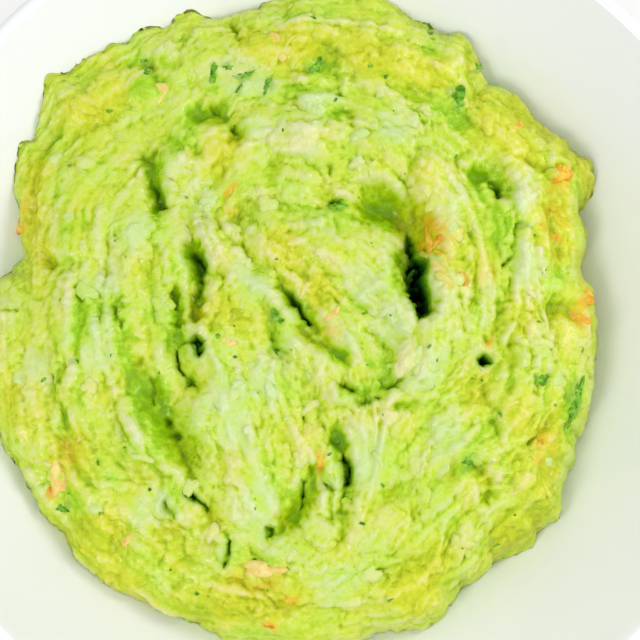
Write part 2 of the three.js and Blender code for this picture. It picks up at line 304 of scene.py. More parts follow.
HOLE_DEPTH = 0.8  # the holes' depth, as a share of that in HOLES
DARK_HOLE = 7.0  # depth of a hole whose colour is the ramp's last
BROAD_HEIGHT, BROAD_SIZE = 1.2, 14.0  # slow rise and fall of the whole surface
EDGE_BELT = 14.0  # width of the calmer belt along the heap's edge
DEEP_HOLLOW = 6.0  # depth at which a hollow is calmest
CREASE_RADIUS = 3.0  # the surroundings against which creases are sharpened
LEVEL_RADIUS = 16.0  # the surroundings over which the relief is levelled
KEPT_FOLDS = 0.4  # share of the folds that is put back after that
RAISE = 0.8  # mean height of the relief over the base
LEAN_RADIUS = 0.5  # the relief is smoothed so far before its slope makes lumps lean
STEEPEST = 2  # slope past which they lean no further

# How far each kind of bit or patch colours the mash round it.
SPREAD = {"milk": 3.0, "green": 1.8, "yellow": 3.5, "juice": 1.5, "tomato": 0.9, "herb": 0.6}


def lattice(column, row, seed):
    """A fixed random number from 0 to 1 for each whole-number place: an integer hash."""
    mixed = (column * 374761393 + row * 668265263 + seed * 974634777) & 0xFFFFFFFF
    mixed = ((mixed ^ (mixed >> 13)) * 1274126177) & 0xFFFFFFFF
    return ((mixed ^ (mixed >> 16)) & 0xFFFF) / 65535.0


def noise(x, y, size, seed):
    """Smooth noise, about -1 to 1, with blobs about size across.

    Each corner of a square grid has a random slope. A point adds up the four slopes' heights,
    weighted by the fade 6t^5 - 15t^4 + 10t^3 along each side.
    """
    column, row = np.floor(x / size).astype(np.int64), np.floor(y / size).astype(np.int64)
    along, across = x / size - column, y / size - row
    fade_x = along**3 * (along * (along * 6 - 15) + 10)
    fade_y = across**3 * (across * (across * 6 - 15) + 10)
    total = np.zeros_like(along)
    for i in (0, 1):
        for j in (0, 1):
            turn = 2 * np.pi * lattice(column + i, row + j, seed)
            height = np.cos(turn) * (along - i) + np.sin(turn) * (across - j)
            weight = (fade_x if i else 1 - fade_x) * (fade_y if j else 1 - fade_y)
            total += weight * height
    return total * NOISE_GAIN


def cloudy(x, y, size, octaves, seed):
    """Noise of several sizes: each octave is half as large and half as high as the one before."""
    return sum(noise(x, y, size / 2**k, seed + 17 * k) / 2**k for k in range(octaves))


def pushed(broad, fine, seeds):
    """The plan's X and Y moved by noise, so that what is drawn in them gets uneven outlines.

    Broad and fine are each a distance and the noise's size. Seeds are X's two, then Y's two.
    """
    return tuple(
        axis + broad[0] * noise(X, Y, broad[1], first) + fine[0] * noise(X, Y, fine[1], second)
        for axis, (first, second) in zip((X, Y), seeds)
    )


def patchy(middle, change, size, seed, low, high):
    """A share that varies in patches of that size: the middle plus the change times cloudy
    noise, kept between low and high."""
    return np.clip(middle + change * cloudy(X, Y, size, 2, seed), low, high)


def blur(field, radius):
    """The field smoothed by a Gaussian of that radius in mm, through its Fourier transform."""
    count = field.shape[0]
    wave = np.fft.fftfreq(count, CELL)
    half_wave = np.fft.rfftfreq(count, CELL)
    gain = np.exp(-2 * (np.pi * radius) ** 2 * (wave[:, None] ** 2 + half_wave[None, :] ** 2))
    return np.fft.irfft2(np.fft.rfft2(field) * gain, s=field.shape)


def sample(field, x, y):
    """The field between raster points: a weighted mean of the four round each place."""
    top = len(AXIS) - 1.001  # just within the last cell
    column, row = np.clip((x + HALF) / CELL, 0, top), np.clip((y + HALF) / CELL, 0, top)
    i, j = column.astype(np.int64), row.astype(np.int64)
    u, v = column - i, row - j
    near = field[j, i] * (1 - u) + field[j, i + 1] * u
    far = field[j + 1, i] * (1 - u) + field[j + 1, i + 1] * u
    return near * (1 - v) + far * v


def flow_field():
    """Cosine and sine of twice the spoon's direction, each a Gaussian-weighted mean of FLOW.

    Doubling the angle makes opposite directions the same.
    """
    cosine, sine = np.zeros_like(X), np.zeros_like(X)
    for x, y, degrees in FLOW:
        weight = np.exp(-((X - x) ** 2 + (Y - y) ** 2) / (2 * FLOW_REACH**2)) + 1e-9
        cosine += weight * math.cos(2 * math.radians(degrees))
        sine += weight * math.sin(2 * math.radians(degrees))
    return cosine, sine


def smear(field, flow, length):
    """The field averaged along the spoon's way for that length each side of every point.

    Each point walks along the flow in short steps and adds up what it passes.
    """
    total, steps = field.copy(), int(length / STREAM_STEP)
    start = 0.5 * np.arctan2(flow[1], flow[0])
    for side in (1, -1):
        x, y = X.copy(), Y.copy()
        ahead_x, ahead_y = side * np.cos(start), side * np.sin(start)
        for _ in range(steps):
            x += STREAM_STEP * ahead_x
            y += STREAM_STEP * ahead_y
            total += sample(field, x, y)
            angle = 0.5 * np.arctan2(sample(flow[1], x, y), sample(flow[0], x, y))
            turn_x, turn_y = np.cos(angle), np.sin(angle)
            same = np.sign(turn_x * ahead_x + turn_y * ahead_y + 1e-9)
            ahead_x, ahead_y = turn_x * same, turn_y * same
    return total / (2 * steps + 1)


def bend_points(path):
    """Points along the parabola that starts at the first place, leans to the second and ends at
    the third: (1-t)^2 A + 2t(1-t) B + t^2 C."""
    t = np.linspace(0, 1, BEND_POINTS)[:, None]
    start, bend, end = (np.array(place, float) for place in path)
    return (1 - t) ** 2 * start + 2 * t * (1 - t) * bend + t**2 * end


def window(points, reach):
    """The slices of the raster that hold every place within reach of the points."""
    low = np.clip(((points.min(axis=0) - reach + HALF) / CELL).astype(int), 0, len(AXIS) - 2)
    high = np.clip(((points.max(axis=0) + reach + HALF) / CELL).astype(int) + 2, 2, len(AXIS))
    return slice(low[1], high[1]), slice(low[0], high[0])


def distance_to_line(x, y, points):
    """Distance from each place to the nearest of the straight pieces between the points."""
    nearest = np.full(x.shape, 1e9)
    for (ax, ay), (bx, by) in zip(points[:-1], points[1:]):
        dx, dy = bx - ax, by - ay
        share = np.clip(((x - ax) * dx + (y - ay) * dy) / (dx * dx + dy * dy + 1e-9), 0, 1)
        nearest = np.minimum(nearest, np.hypot(x - ax - share * dx, y - ay - share * dy))
    return nearest


def raised(x, y, table, profile):
    """The highest, at each place, of the table's strokes: each one's height times the profile of
    the distance from its line as a share of its half width."""
    out = np.zeros_like(x)
    for path, half_width, height in table:
        points = bend_points(path)
        part = window(points, half_width + MARGIN)
        share = np.clip(distance_to_line(x[part], y[part], points) / half_width, 0, 1)
        out[part] = np.maximum(out[part], height * profile(share))
    return out


def round_back(share):
    """1 on the line, 0 at the half width, round on top: (1 - s^2)^1.3."""
    return (1 - share**2) ** 1.3


def sloping(share):
    """1 on the line, 0 at the half width, level at both: 1 - 3s^2 + 2s^3."""
    return 1 - share**2 * (3 - 2 * share)


def steep(share):
    """1 over the inner half, then down to 0 at the half width."""
    return sloping(np.clip(2 * share - 1, 0, 1))


def dollops(flow, count, length, width, height, flatness, stray, seed):
    """Overlapping dollops that lie along the spoon's way.

    Each has the height sqrt(1 - r^flatness), r being the distance from its middle as a share of
    its ellipse: 2 gives an ellipsoid's top, more a flat flake. It strays from the spoon's way by
    about `stray` radians, leans up towards its far end, and its outline is bent by noise. Its
    length and width are 0.6 to 1.5 of those given, and its height 0.4 to 1. Where dollops
    overlap, the higher one shows.
    """
    rng = np.random.default_rng(seed)
    out = np.zeros_like(X)
    bend_x, bend_y = pushed(*DOLLOP_WARP, ((seed, seed + 3), (seed + 1, seed + 4)))
    for _ in range(count):
        radius, angle = DOLLOP_REACH * math.sqrt(rng.random()), 2 * math.pi * rng.random()
        x, y = radius * math.cos(angle), radius * math.sin(angle)
        half_length = length * rng.uniform(0.6, 1.5) / 2
        half_width = width * rng.uniform(0.6, 1.5) / 2
        top = height * rng.uniform(0.4, 1.0)
        part = window(np.array([[x, y]]), half_length + MARGIN)
        row, column = int((y + HALF) / CELL), int((x + HALF) / CELL)
        way = 0.5 * math.atan2(flow[1][row, column], flow[0][row, column])
        way += rng.normal(0, stray) + math.pi * rng.integers(0, 2)
        dx, dy = bend_x[part] - x, bend_y[part] - y
        a = (dx * math.cos(way) + dy * math.sin(way)) / half_length
        b = (-dx * math.sin(way) + dy * math.cos(way)) / half_width
        inside = np.clip(1 - (a**2 + b**2) ** (flatness / 2), 0, 1)
        out[part] = np.maximum(out[part], top * np.sqrt(inside) * (0.75 + 0.25 * a))
    return out


def unit(field):
    """The field about its mean, as a share of its spread."""
    return (field - field.mean()) / field.std()


def strands(field):
    """Separate raised strands on level ground: what of the field lies above 0.8, at most 2."""
    return np.clip(field - 0.8, 0, 2)


def skewed(field, radius, up, down):
    """The field with all that rises above its surroundings scaled by `up`, and all that falls
    below them by `down`: flatter backs and sharper creases."""
    around = blur(field, radius)
    rise = field - around
    return around + np.where(rise > 0, up * rise, down * rise)


def sunken(field, radius, depth):
    """How far each place lies below its surroundings, as a share of the depth."""
    return (blur(field, radius) - field) / depth


def stain(x, y, table, spread):
    """How strongly the bits in a table colour the mash: 1 up to 0.3 of a bit's width from its
    line, then falling as a bell of that spread. The largest counts."""
    out = np.zeros_like(x)
    for place_x, place_y, length, width, degrees in table:
        way = math.radians(degrees)
        half = 0.5 * max(length - width, 0.1) * np.array([math.cos(way), math.sin(way)])
        points = np.array([[place_x, place_y] - half, [place_x, place_y] + half])
        part = window(points, width + 3 * spread)
        beyond = np.clip(distance_to_line(x[part], y[part], points) - 0.3 * width, 0, None)
        out[part] = np.maximum(out[part], np.exp(-((beyond / spread) ** 2)))
    return out


def build_relief(settings):
    """Height of the relief over the plan, and the fields that the mash's colour follows.

    The relief is folds, ridges and calmed detail, with creases sharpened and the whole levelled,
    less hollows and holes. The detail is dollops, fibres where the mash is smeared, crumbs where
    it isn't, and a slow rise and fall. It is calmed in hollows and along the heap's edge. The
    crease field is painted shade: it grows with how far a place lies below surroundings of three
    sizes, darkening and greening the creases, and below 0 it paints the backs of the folds paler,
    as painted highlight. The holes' and green patches' fields are painted shade too, and the
    milky patches' field partly painted sheen.
    """
    flow = flow_field()
    rng = np.random.default_rng(settings.seed)
    ribbon, strand, hair = (
        unit(smear(unit(blur(rng.standard_normal(X.shape), size)), flow, length))
        for size, length in FIBRES
    )
    warp = pushed(*FOLD_WARP, ((5, 6), (7, 8)))
    near = pushed(*HOLE_WARP, ((9, 10), (12, 13)))
    folds = settings.fold_height * raised(*warp, FOLDS, round_back)
    hollows = raised(*near, HOLLOWS, sloping)
    holes = HOLE_DEPTH * raised(*near, HOLES, steep) * patchy(*HOLE_PATCHES)
    ridges = raised(*near, RIDGES, round_back) * patchy(*RIDGE_PATCHES)

    # The milky patches: partly painted sheen in the colour, and where the mash is smeared.
    milk = stain(*warp, MILKY_SHEEN_PATCHES, SPREAD["milk"])
    smeared = np.clip(0.45 + 1.1 * cloudy(X, Y, 17.0, 2, 21) + 0.5 * milk, 0, 1)
    detail = sum(dollops(flow, *kind, settings.seed + 1 + k) for k, kind in enumerate(DOLLOPS))
    fibres = 0.55 * strands(ribbon) + 0.45 * strands(strand) + 0.06 * hair
    detail += (0.15 + 0.85 * smeared) * fibres
    crumbs = dollops(flow, *CRUMBS, settings.seed + 1 + len(DOLLOPS))
    detail += settings.lump_height * (1.2 - smeared) * crumbs
    detail += BROAD_HEIGHT * cloudy(X, Y, BROAD_SIZE, 2, 51)
    inwards = (edge_radius(np.arctan2(Y, X)) - np.hypot(X, Y)) / EDGE_BELT
    inwards = np.clip(inwards + 0.4 * cloudy(X, Y, 20.0, 2, 81), 0, 1)
    calm = (1 - 0.7 * np.clip(hollows / DEEP_HOLLOW, 0, 1)) * (0.75 + 0.25 * inwards)
    relief = skewed(folds + ridges + calm * detail, CREASE_RADIUS, 0.85, 1.05)
    relief += KEPT_FOLDS * folds + RAISE - blur(relief, LEVEL_RADIUS)
    relief -= hollows + holes

    blotchy = patchy(*STAIN_PATCHES)
    flesh = stain(*warp, TOMATO_BITS, SPREAD["tomato"]) * blotchy
    juice = 0.45 * stain(*warp, TOMATO_STAINS, SPREAD["juice"]) * blotchy
    # Painted shade for the colour: the creases darker and greener, the further a place lies below
    # its surroundings at three sizes and the deeper the hollow; thin adds the finest creases. Below
    # 0, on the backs of the folds, it paints them paler, as painted highlight.
    thin = np.clip(sunken(relief, 0.5, 0.08) - 1, 0, 2.5)
    crease = (
        0.6 * sunken(relief, 1.1, 0.4)
        + 0.25 * thin
        + 0.25 * calm * sunken(relief, 4.5, 1.5)
        + 0.28 * np.clip(hollows, 0, 3)
        - 0.1
    )
    return {
        "relief": relief,
        "crease": np.clip(crease, -1.9, 2.4),
        "deep": np.clip(blur(holes, 0.7) / DARK_HOLE, 0, 1.5),
        "strand": 0.6 * strand + 0.4 * hair + 0.8 * ridges,
        "tomato": np.maximum(flesh, juice),
        "herb": stain(*warp, HERB_BITS, SPREAD["herb"]),
        "milk": milk,
        # Painted shade: darker, clearer green on the green patches, most in the hollows.
        "green": stain(*warp, GREEN_SHADE_PATCHES, SPREAD["green"]),
        "yellow": stain(*warp, YELLOW_PATCHES, SPREAD["yellow"]),
    }


# ---------------------------------------------------------------- the surfaces


def inside_height(radius):
    """Height of the bowl's inside: flat to FLOOR_RADIUS, then rising as a power of the way out."""
    share = np.clip((radius - FLOOR_RADIUS) / (INSIDE_RADIUS - FLOOR_RADIUS), 0, None)
    return FLOOR_TOP + (INSIDE_TOP - FLOOR_TOP) * share**WALL_CURVE


def arc(centre, radius, start, end, count):
    """Points of a circle round the centre, from the start angle to the end angle in degrees."""
    angle = np.radians(np.linspace(start, end, count))
    return np.stack([centre[0] + radius * np.cos(angle), centre[1] + radius * np.sin(angle)], 1)


def bowl_profile():
    """Section of the bowl, radius and height, from the axis inside, over the lip, to the axis
    underneath: the inside curve, a half circle, the curve one wall further out, and the foot."""
    floor = np.linspace(CENTRE_RING, FLOOR_RADIUS, FLOOR_RINGS)[:-1]
    radius = np.concatenate([floor, np.linspace(FLOOR_RADIUS, INSIDE_RADIUS, WALL_RINGS)])
    inside = np.stack([radius, inside_height(radius)], 1)
    step = 0.01
    slope = (inside_height(radius + step) - inside_height(radius - step)) / (2 * step)
    length = np.hypot(slope, 1)
    outside = np.stack([radius + WALL * slope / length, inside[:, 1] - WALL / length], 1)[::-1]
    centre = (inside[-1] + outside[0]) / 2
    reach = inside[-1] - centre
    lean = math.degrees(math.atan2(reach[1], reach[0]))
    lip = arc(centre, WALL / 2, lean, lean - 180, LIP_POINTS)[1:-1]
    outside = outside[outside[:, 0] > FOOT_RADIUS + FOOT_CORNER]
    inner = FOOT_RADIUS - FOOT_WIDTH
    foot = np.concatenate([
        [(FOOT_RADIUS + CORNER_POINT[0], UNDERSIDE + CORNER_POINT[1])],
        [(FOOT_RADIUS, UNDERSIDE + FOOT_CORNER)],
        arc((FOOT_RADIUS - FOOT_ROUND, FOOT_ROUND), FOOT_ROUND, 0, -90, FOOT_POINTS),
        arc((inner + FOOT_ROUND, FOOT_ROUND), FOOT_ROUND, -90, -180, FOOT_POINTS),
        [(inner, UNDERSIDE - INNER_CORNER), (inner - INNER_CORNER, UNDERSIDE)],
        [(ring, UNDERSIDE) for ring in FLAT_RINGS],
    ])
    return np.concatenate([inside, lip, outside, foot])


def ring_faces(rings, around):
    """Quads between rings of points, and triangles that close both ends on the two points that
    follow the last ring. They face outwards where the rings climb the axis."""
    ring, side = np.meshgrid(np.arange(rings - 1), np.arange(around), indexing="ij")
    near, next_side = ring * around, (side + 1) % around
    far = near + around
    quads = np.stack([near + side, near + next_side, far + next_side, far + side], 2)
    i = np.arange(around)
    j = (i + 1) % around
    low, last_ring = rings * around, (rings - 1) * around
    caps = np.concatenate([
        np.stack([np.full(around, low), j, i], 1),
        np.stack([np.full(around, low + 1), last_ring + i, last_ring + j], 1),
    ])
    return quads.reshape(-1, 4), caps


def turned(profile, segments):
    """Vertices and faces of a profile carried round the axis: (r cos a, r sin a, z) for each
    profile point and each angle, with both ends closed on the axis. The faces are turned over,
    because the profile climbs the inside and comes down the outside."""
    angle = 2 * np.pi * np.arange(segments) / segments
    body = np.stack([
        profile[:, :1] * np.cos(angle),
        profile[:, :1] * np.sin(angle),
        np.repeat(profile[:, 1:], segments, axis=1),
    ], axis=2).reshape(-1, 3)
    ends = np.array([[0, 0, profile[0, 1]], [0, 0, profile[-1, 1]]])
    quads, caps = ring_faces(len(profile), segments)
    return np.concatenate([body, ends]), quads[:, [0, 3, 2, 1]], caps[:, [0, 2, 1]]


def edge_radius(angle):
    """Distance from the axis to the heap's edge: a smooth closed curve through EDGE_RADII, with
    the bell-shaped EDGE_LUMPS added."""
    radii = np.array(EDGE_RADII, float)
    place = (angle / (2 * np.pi)) * len(radii)
    before = np.floor(place).astype(int)
    t = place - before
    a, b, c, d = (radii[(before + k) % len(radii)] for k in (-1, 0, 1, 2))
    edge = b + 0.5 * t * (c - a + t * (2 * a - 5 * b + 4 * c - d + t * (3 * b - a - 3 * c + d)))
    for direction, half_width, height in EDGE_LUMPS:
        apart = (np.degrees(angle) - direction + 180) % 360 - 180
        edge = edge + height * np.exp(-((apart / half_width) ** 2))
    return edge


def disc_places(cells):
    """Angle and share of the way out for each point of a square grid bent into a disc.

    A point's distance out is the larger of its two coordinates, so each square becomes a
    circle; its place along the square's side becomes its place along a quarter circle.
    """
    line = np.linspace(-1, 1, cells + 1)
    u, v = np.meshgrid(line, line)
    share = np.maximum(np.abs(u), np.abs(v))
    upright = np.abs(v) > np.abs(u)
    long_side, short_side = np.where(upright, v, u), np.where(upright, -u, v)
    safe = np.where(long_side == 0, 1, long_side)
    angle = np.pi / 4 * short_side / safe + np.where(upright, np.pi / 2, 0)
    return np.where(long_side < 0, angle + np.pi, angle), share


def shoulder_steps(share):
    """Turns an even share into a share of the radius so that steps along the heap's section,
    over the shoulder and down the side, come out equal. Also gives the length along it, as a
    share of the heap's radius."""
    radius = 1 - (1 - np.linspace(0, 1, SECTION_POINTS)) ** 2
    height = SIDE_HEIGHT * np.sqrt(np.clip(1 - radius**SHOULDER, 0, 1))
    steps = np.hypot(np.diff(radius * HEAP_RADIUS), np.diff(height))
    length = np.concatenate([[0], np.cumsum(steps)])
    out = np.interp(share * length[-1], length, radius)
    return out, share * length[-1] / HEAP_RADIUS


def surface_normals(grid):
    """Unit normals of a grid of points: the cross product of the two ways along the grid."""
    across = np.gradient(grid, axis=1)
    along = np.gradient(grid, axis=0)
    normal = np.cross(across, along)
    return normal / np.linalg.norm(normal, axis=2, keepdims=True)


def heap_surface(settings):
    """Vertices, faces and colour fields of the heap, closed underneath.

    The base rises from the bowl's inside to the crown by the shoulder sqrt(1 - s^8). Each point
    moves along the base's normal by the relief at its place along the section, and the relief's
    slope shifts it downhill a little, so that lumps lean over the creases. The border rests on
    the glaze, and nothing else comes as low.
    """
    fields = build_relief(settings)
    angle, even = disc_places(settings.cells)
    share, along = shoulder_steps(even)
    edge = edge_radius(angle)
    ring_x, ring_y = edge * np.cos(angle), edge * np.sin(angle)
    for height, size, seed in EDGE_BUMPS:
        edge = edge + height * noise(ring_x, ring_y, size, seed)
    radius = edge * share
    foot = inside_height(edge)
    crown = HEAP_TOP - HEAP_DROP * (radius / HEAP_RADIUS) ** 2
    height = foot + (crown - foot) * np.sqrt(np.clip(1 - share**SHOULDER, 0, 1))
    base = np.stack([radius * np.cos(angle), radius * np.sin(angle), height], axis=2)
    normal = surface_normals(base)

    plan_x, plan_y = edge * along * np.cos(angle), edge * along * np.sin(angle)
    lift = sample(fields["relief"], plan_x, plan_y)
    top = base + normal * lift[:, :, None]
    slope_y, slope_x = np.gradient(blur(fields["relief"], LEAN_RADIUS), CELL)
    lean_x, lean_y = (
        np.clip(sample(slope, plan_x, plan_y), -STEEPEST, STEEPEST) for slope in (slope_x, slope_y)
    )
    lean = settings.overhang * normal[:, :, 2]
    top[:, :, 0] -= lean * lean_x
    top[:, :, 1] -= lean * lean_y

    out = np.hypot(top[:, :, 0], top[:, :, 1])
    rest = inside_height(out) + CONTACT
    border = even > 1 - 1e-9
    lowest = rest + CLEARANCE * (1 - even)
    top[:, :, 2] = np.where(border, rest, np.maximum(top[:, :, 2], lowest))
    return close_underneath(top, fields, plan_x, plan_y)


def close_underneath(top, fields, plan_x, plan_y):
    """Adds the underside: the grid's border drawn in to the axis in rings that follow the
    bowl's inside. Gives the vertices, the faces and each vertex's colour fields."""
    size = top.shape[0]
    last = size - 1
    index = np.arange(size * size).reshape(size, size)
    corners = [index[:-1, :-1], index[:-1, 1:], index[1:, 1:], index[1:, :-1]]
    quads = np.stack(corners, 2).reshape(-1, 4)
    sides = [index[0, :last], index[:last, last], index[last, :0:-1], index[:0:-1, 0]]
    border = np.concatenate(sides)
    points = top.reshape(-1, 3)
    rim = points[border]
    vertices, outer, under = [points], border, []
    for k in range(UNDER_RINGS - 1, 0, -1):
        ring = rim * (k / UNDER_RINGS)
        ring[:, 2] = inside_height(np.hypot(ring[:, 0], ring[:, 1])) + CONTACT
        inner = sum(len(v) for v in vertices) + np.arange(len(border))
        vertices.append(ring)
        under.append(np.stack([np.roll(outer, -1), outer, inner, np.roll(inner, -1)], 1))
        outer = inner
    centre = sum(len(v) for v in vertices)
    vertices.append(np.array([[0, 0, FLOOR_TOP + CONTACT]]))
    cap = np.stack([np.roll(outer, -1), outer, np.full(len(outer), centre)], 1)
    colours = {}
    for name in COLOUR_FIELDS:
        values = sample(fields[name], plan_x, plan_y).ravel()
        colours[name] = np.concatenate([values, np.zeros(centre + 1 - len(values))])
    return np.concatenate(vertices), np.concatenate([quads] + under), cap, colours


def build_mesh(name, vertices, quads, triangles, attributes=None):
    """A smooth-shaded mesh object from arrays of points in mm, quads and triangles."""
    mesh = bpy.data.meshes.new(name)
    mesh.vertices.add(len(vertices))
    mesh.vertices.foreach_set("co", (vertices * MM).astype(np.float32).ravel())
    corners = np.concatenate([quads.ravel(), triangles.ravel()]).astype(np.int32)
    mesh.loops.add(len(corners))
    mesh.loops.foreach_set("vertex_index", corners)
    mesh.polygons.add(len(quads) + len(triangles))
    sides = np.repeat([4, 3], [len(quads), len(triangles)])
    starts = np.cumsum(sides) - sides
    mesh.polygons.foreach_set("loop_start", starts.astype(np.int32))
    mesh.polygons.foreach_set("use_smooth", np.ones(len(starts), bool))
    for field, values in (attributes or {}).items():
        layer = mesh.attributes.new(field, "FLOAT", "POINT")
        layer.data.foreach_set("value", values.astype(np.float32))
    mesh.update(calc_edges=True)
    if mesh.validate():
        raise RuntimeError(f"{name}: the mesh had broken faces")
    piece = bpy.data.objects.new(name, mesh)
    bpy.context.scene.collection.objects.link(piece)
    return piece


# ---------------------------------------------------------------- small bits

CHUNK_WAVES = ((2, 1.0), (3, 0.8), (5, 0.5))  # waves round a chunk, and how strong each is
LOBES = 5  # of a leaf
LEVELLING = 0.4  # share by which bits lie level rather than along the surface
FACING_UP = 0.05  # least upward part of the normal where a bit can lie


def chunk_grid(around, up):
    """Angles round and heights from pole to pole of a unit ball's grid, with its poles last, and
    its faces."""
    angles = 2 * np.pi * np.arange(around) / around
    heights = np.pi * (np.arange(1, up) / up) - np.pi / 2
    turn, rise = np.meshgrid(angles, heights)
    turn, rise = np.append(turn, [0, 0]), np.append(rise, [-np.pi / 2, np.pi / 2])
    return turn, rise, *ring_faces(up - 1, around)


def chunks(
    places, normals, sizes, turns, square, rough, seed, lobes=0.0, curl=0.0, around=14, up=8,
):
    """Many closed chunks at once.

    Each is a superellipsoid, its unit ball's sines and cosines raised to the power `square`,
    with its radius changed by a few waves of random phase and by its lobes, stretched to its
    length, width and thickness, bent as a saddle by up to `curl`, turned in the surface's plane
    and set on the normal.
    """
    rng = np.random.default_rng(seed)
    turn, rise, quads, caps = chunk_grid(around, up)
    count, each = len(places), len(turn)
    length, width, thickness = sizes[:, 0:1], sizes[:, 1:2], sizes[:, 2:3]

    def power(value):
        """The value's size raised to the power `square`, with its sign kept."""
        return np.sign(value) * np.abs(value) ** square

    # A phase for each wave, one for the lobes, one for the thickness, and one to spare.
    phase = rng.uniform(0, 2 * np.pi, (count, 6, 1))
    wave = sum(
        part * np.sin(waves * turn + phase[:, k]) for k, (waves, part) in enumerate(CHUNK_WAVES)
    )
    belt = 1 + np.cos(rise) * (rough * wave + lobes * np.sin(LOBES * turn + phase[:, 3]))
    x = belt * power(np.cos(rise)) * power(np.cos(turn)) * length / 2
    y = belt * power(np.cos(rise)) * power(np.sin(turn)) * width / 2
    uneven = 1 + rough * np.sin(2 * turn + phase[:, 4]) * np.cos(rise)
    z = power(np.sin(rise)) * thickness / 2 * uneven
    bent = curl * rng.uniform(-1, 1, (count, 1))
    z = z + bent * (x**2 - y**2) / length + 0.5 * bent * x * y / width
    cosine, sine = np.cos(turns)[:, None], np.sin(turns)[:, None]
    flat = np.stack([cosine, sine, np.zeros_like(cosine)], 2)[:, 0]
    length_way = flat - normals * np.sum(flat * normals, axis=1, keepdims=True)
    length_way /= np.linalg.norm(length_way, axis=1, keepdims=True)
    width_way = np.cross(normals, length_way)
    points = (
        places[:, None]
        + x[:, :, None] * length_way[:, None]
        + y[:, :, None] * width_way[:, None]
        + z[:, :, None] * normals[:, None]
    )
    first = (np.arange(count) * each)[:, None, None]
    return points.reshape(-1, 3), (quads + first).reshape(-1, 4), (caps + first).reshape(-1, 3)


def surface_at(heap, spots):
    """Point, normal and number of the heap's vertex that is nearest each spot in plan, among
    those that face up."""
    mesh = heap.data
    points, normals = np.empty(len(mesh.vertices) * 3), np.empty(len(mesh.vertices) * 3)
    mesh.vertices.foreach_get("co", points)
    mesh.vertices.foreach_get("normal", normals)
    points, normals = points.reshape(-1, 3) / MM, normals.reshape(-1, 3)
    up = np.flatnonzero(normals[:, 2] > FACING_UP)
    plan = points[up, :2]
    nearest = up[[np.argmin(np.sum((plan - spot) ** 2, axis=1)) for spot in spots]]
    return points[nearest], normals[nearest], nearest


def local_colours(heap, table, each):
    """The heap's colour fields at the bits of a table, one value for all `each` vertices of a bit,
    so that a bit has the colour of the mash round it, painted shade, highlight and sheen included."""
    nearest = surface_at(heap, table[:, :2])[2]
    colours = {}
    for name in COLOUR_FIELDS:
        values = np.empty(len(heap.data.vertices), np.float32)
        heap.data.attributes[name].data.foreach_get("value", values)
        colours[name] = np.repeat(values[nearest], each)
    return colours


# The tables of bits and patches give place in plan, length, width and direction in degrees.

# Tomato.
TOMATO_BITS = [
    (28.5, 21, 15, 3.4, 94), (31, 22.5, 5, 3, 60), (36.5, 12.5, 4.6, 2.2, 130),
    (70, 9.5, 7, 4.2, 85), (68, 3, 6, 4, 75), (63, 41, 6, 3.6, 80), (61.5, 24, 2.2, 2, 70),
    (57, 27, 1.4, 1.2, 0), (-81.5, 30, 5, 4, 80), (-23, 35.5, 3, 2, 90), (52.5, 55, 4, 2.8, 80),
    (-8, -69.5, 3, 2.4, 60), (-12.5, -76, 3, 2, 0), (0, -34.5, 4.4, 1.6, 92), (56, -29, 3, 1.2, 10),
    (43, -4.5, 1.6, 1.2, 90), (-69, -41, 4, 2.6, 80),
]

# Pale tomato pulp.
PULP_BITS = [
    (-15, -62, 11, 4, 4), (-20, -60.5, 4, 2.4, 70), (-67, -39, 8, 5, 80), (-41, 62, 7, 5.6, 20),
    (-10, 75, 8, 6, 60), (3, 2.5, 5, 2.4, 65), (-23.5, -5, 4, 3, 135), (13.5, -6, 2.4, 2, 30),
    (44.5, 11, 2, 1.6, 40), (-72, 19, 2.6, 1.2, 20), (-61, -28.5, 2.6, 2, 40), (-48, -54, 4, 3, 10),
    (-33, -67, 2.6, 1.2, 150), (59.5, -37, 5, 2.4, 75), (-11, 74, 1.5, 1.2, 0),
]

# Herb.
HERB_BITS = [
    (35.5, 61, 8, 4.5, 110), (-1, 69.5, 4, 2.6, 30), (-14, 64.5, 4, 1.6, 70),
    (-24, 69.5, 2.4, 1.4, 10), (-28, 67.5, 5, 2, 75), (-19.5, 67, 3.4, 1.6, 20),
    (-21, 63.5, 2.4, 1.2, 60), (66, -18, 11, 2.6, 80), (56, -13.5, 5, 3, 30),
    (37.5, -35, 4, 2.4, 60), (-66, -46, 3.6, 2.4, 30), (5, -29, 5, 3, 20), (31, 84, 4, 2.5, 80),
    (42, 71.5, 4, 1.5, 20), (51, 27, 3, 2, 70), (4, 31, 6, 3, 20), (23, 13, 5, 4, 70),
    (-46, 72, 4, 1.6, 10), (-11, -7, 3, 1.6, 100), (-11, 2, 4, 2, 120), (-46, 68, 3, 1.6, 60),
    (45, -55, 1.4, 1.1, 0), (17.5, -69, 1.6, 1.2, 40), (-62, -9, 1.5, 1.2, 10),
    (46, -23, 1.5, 1.2, 0),
]

# Tomato juice and pulp that tint the mash.
TOMATO_STAINS = [
    (31, 18, 16, 5, 96), (70, 18, 8, 3, 90), (62, 33, 10, 4, 90), (-16, -64, 14, 5, 5),
    (-66, -33, 8, 4, 60), (57, -31, 8, 3, 40), (44, 14, 5, 3, 60), (-79, 34, 8, 4, 80),
    (-24, 30, 5, 3, 90), (4, -1, 4, 3, 70),
]

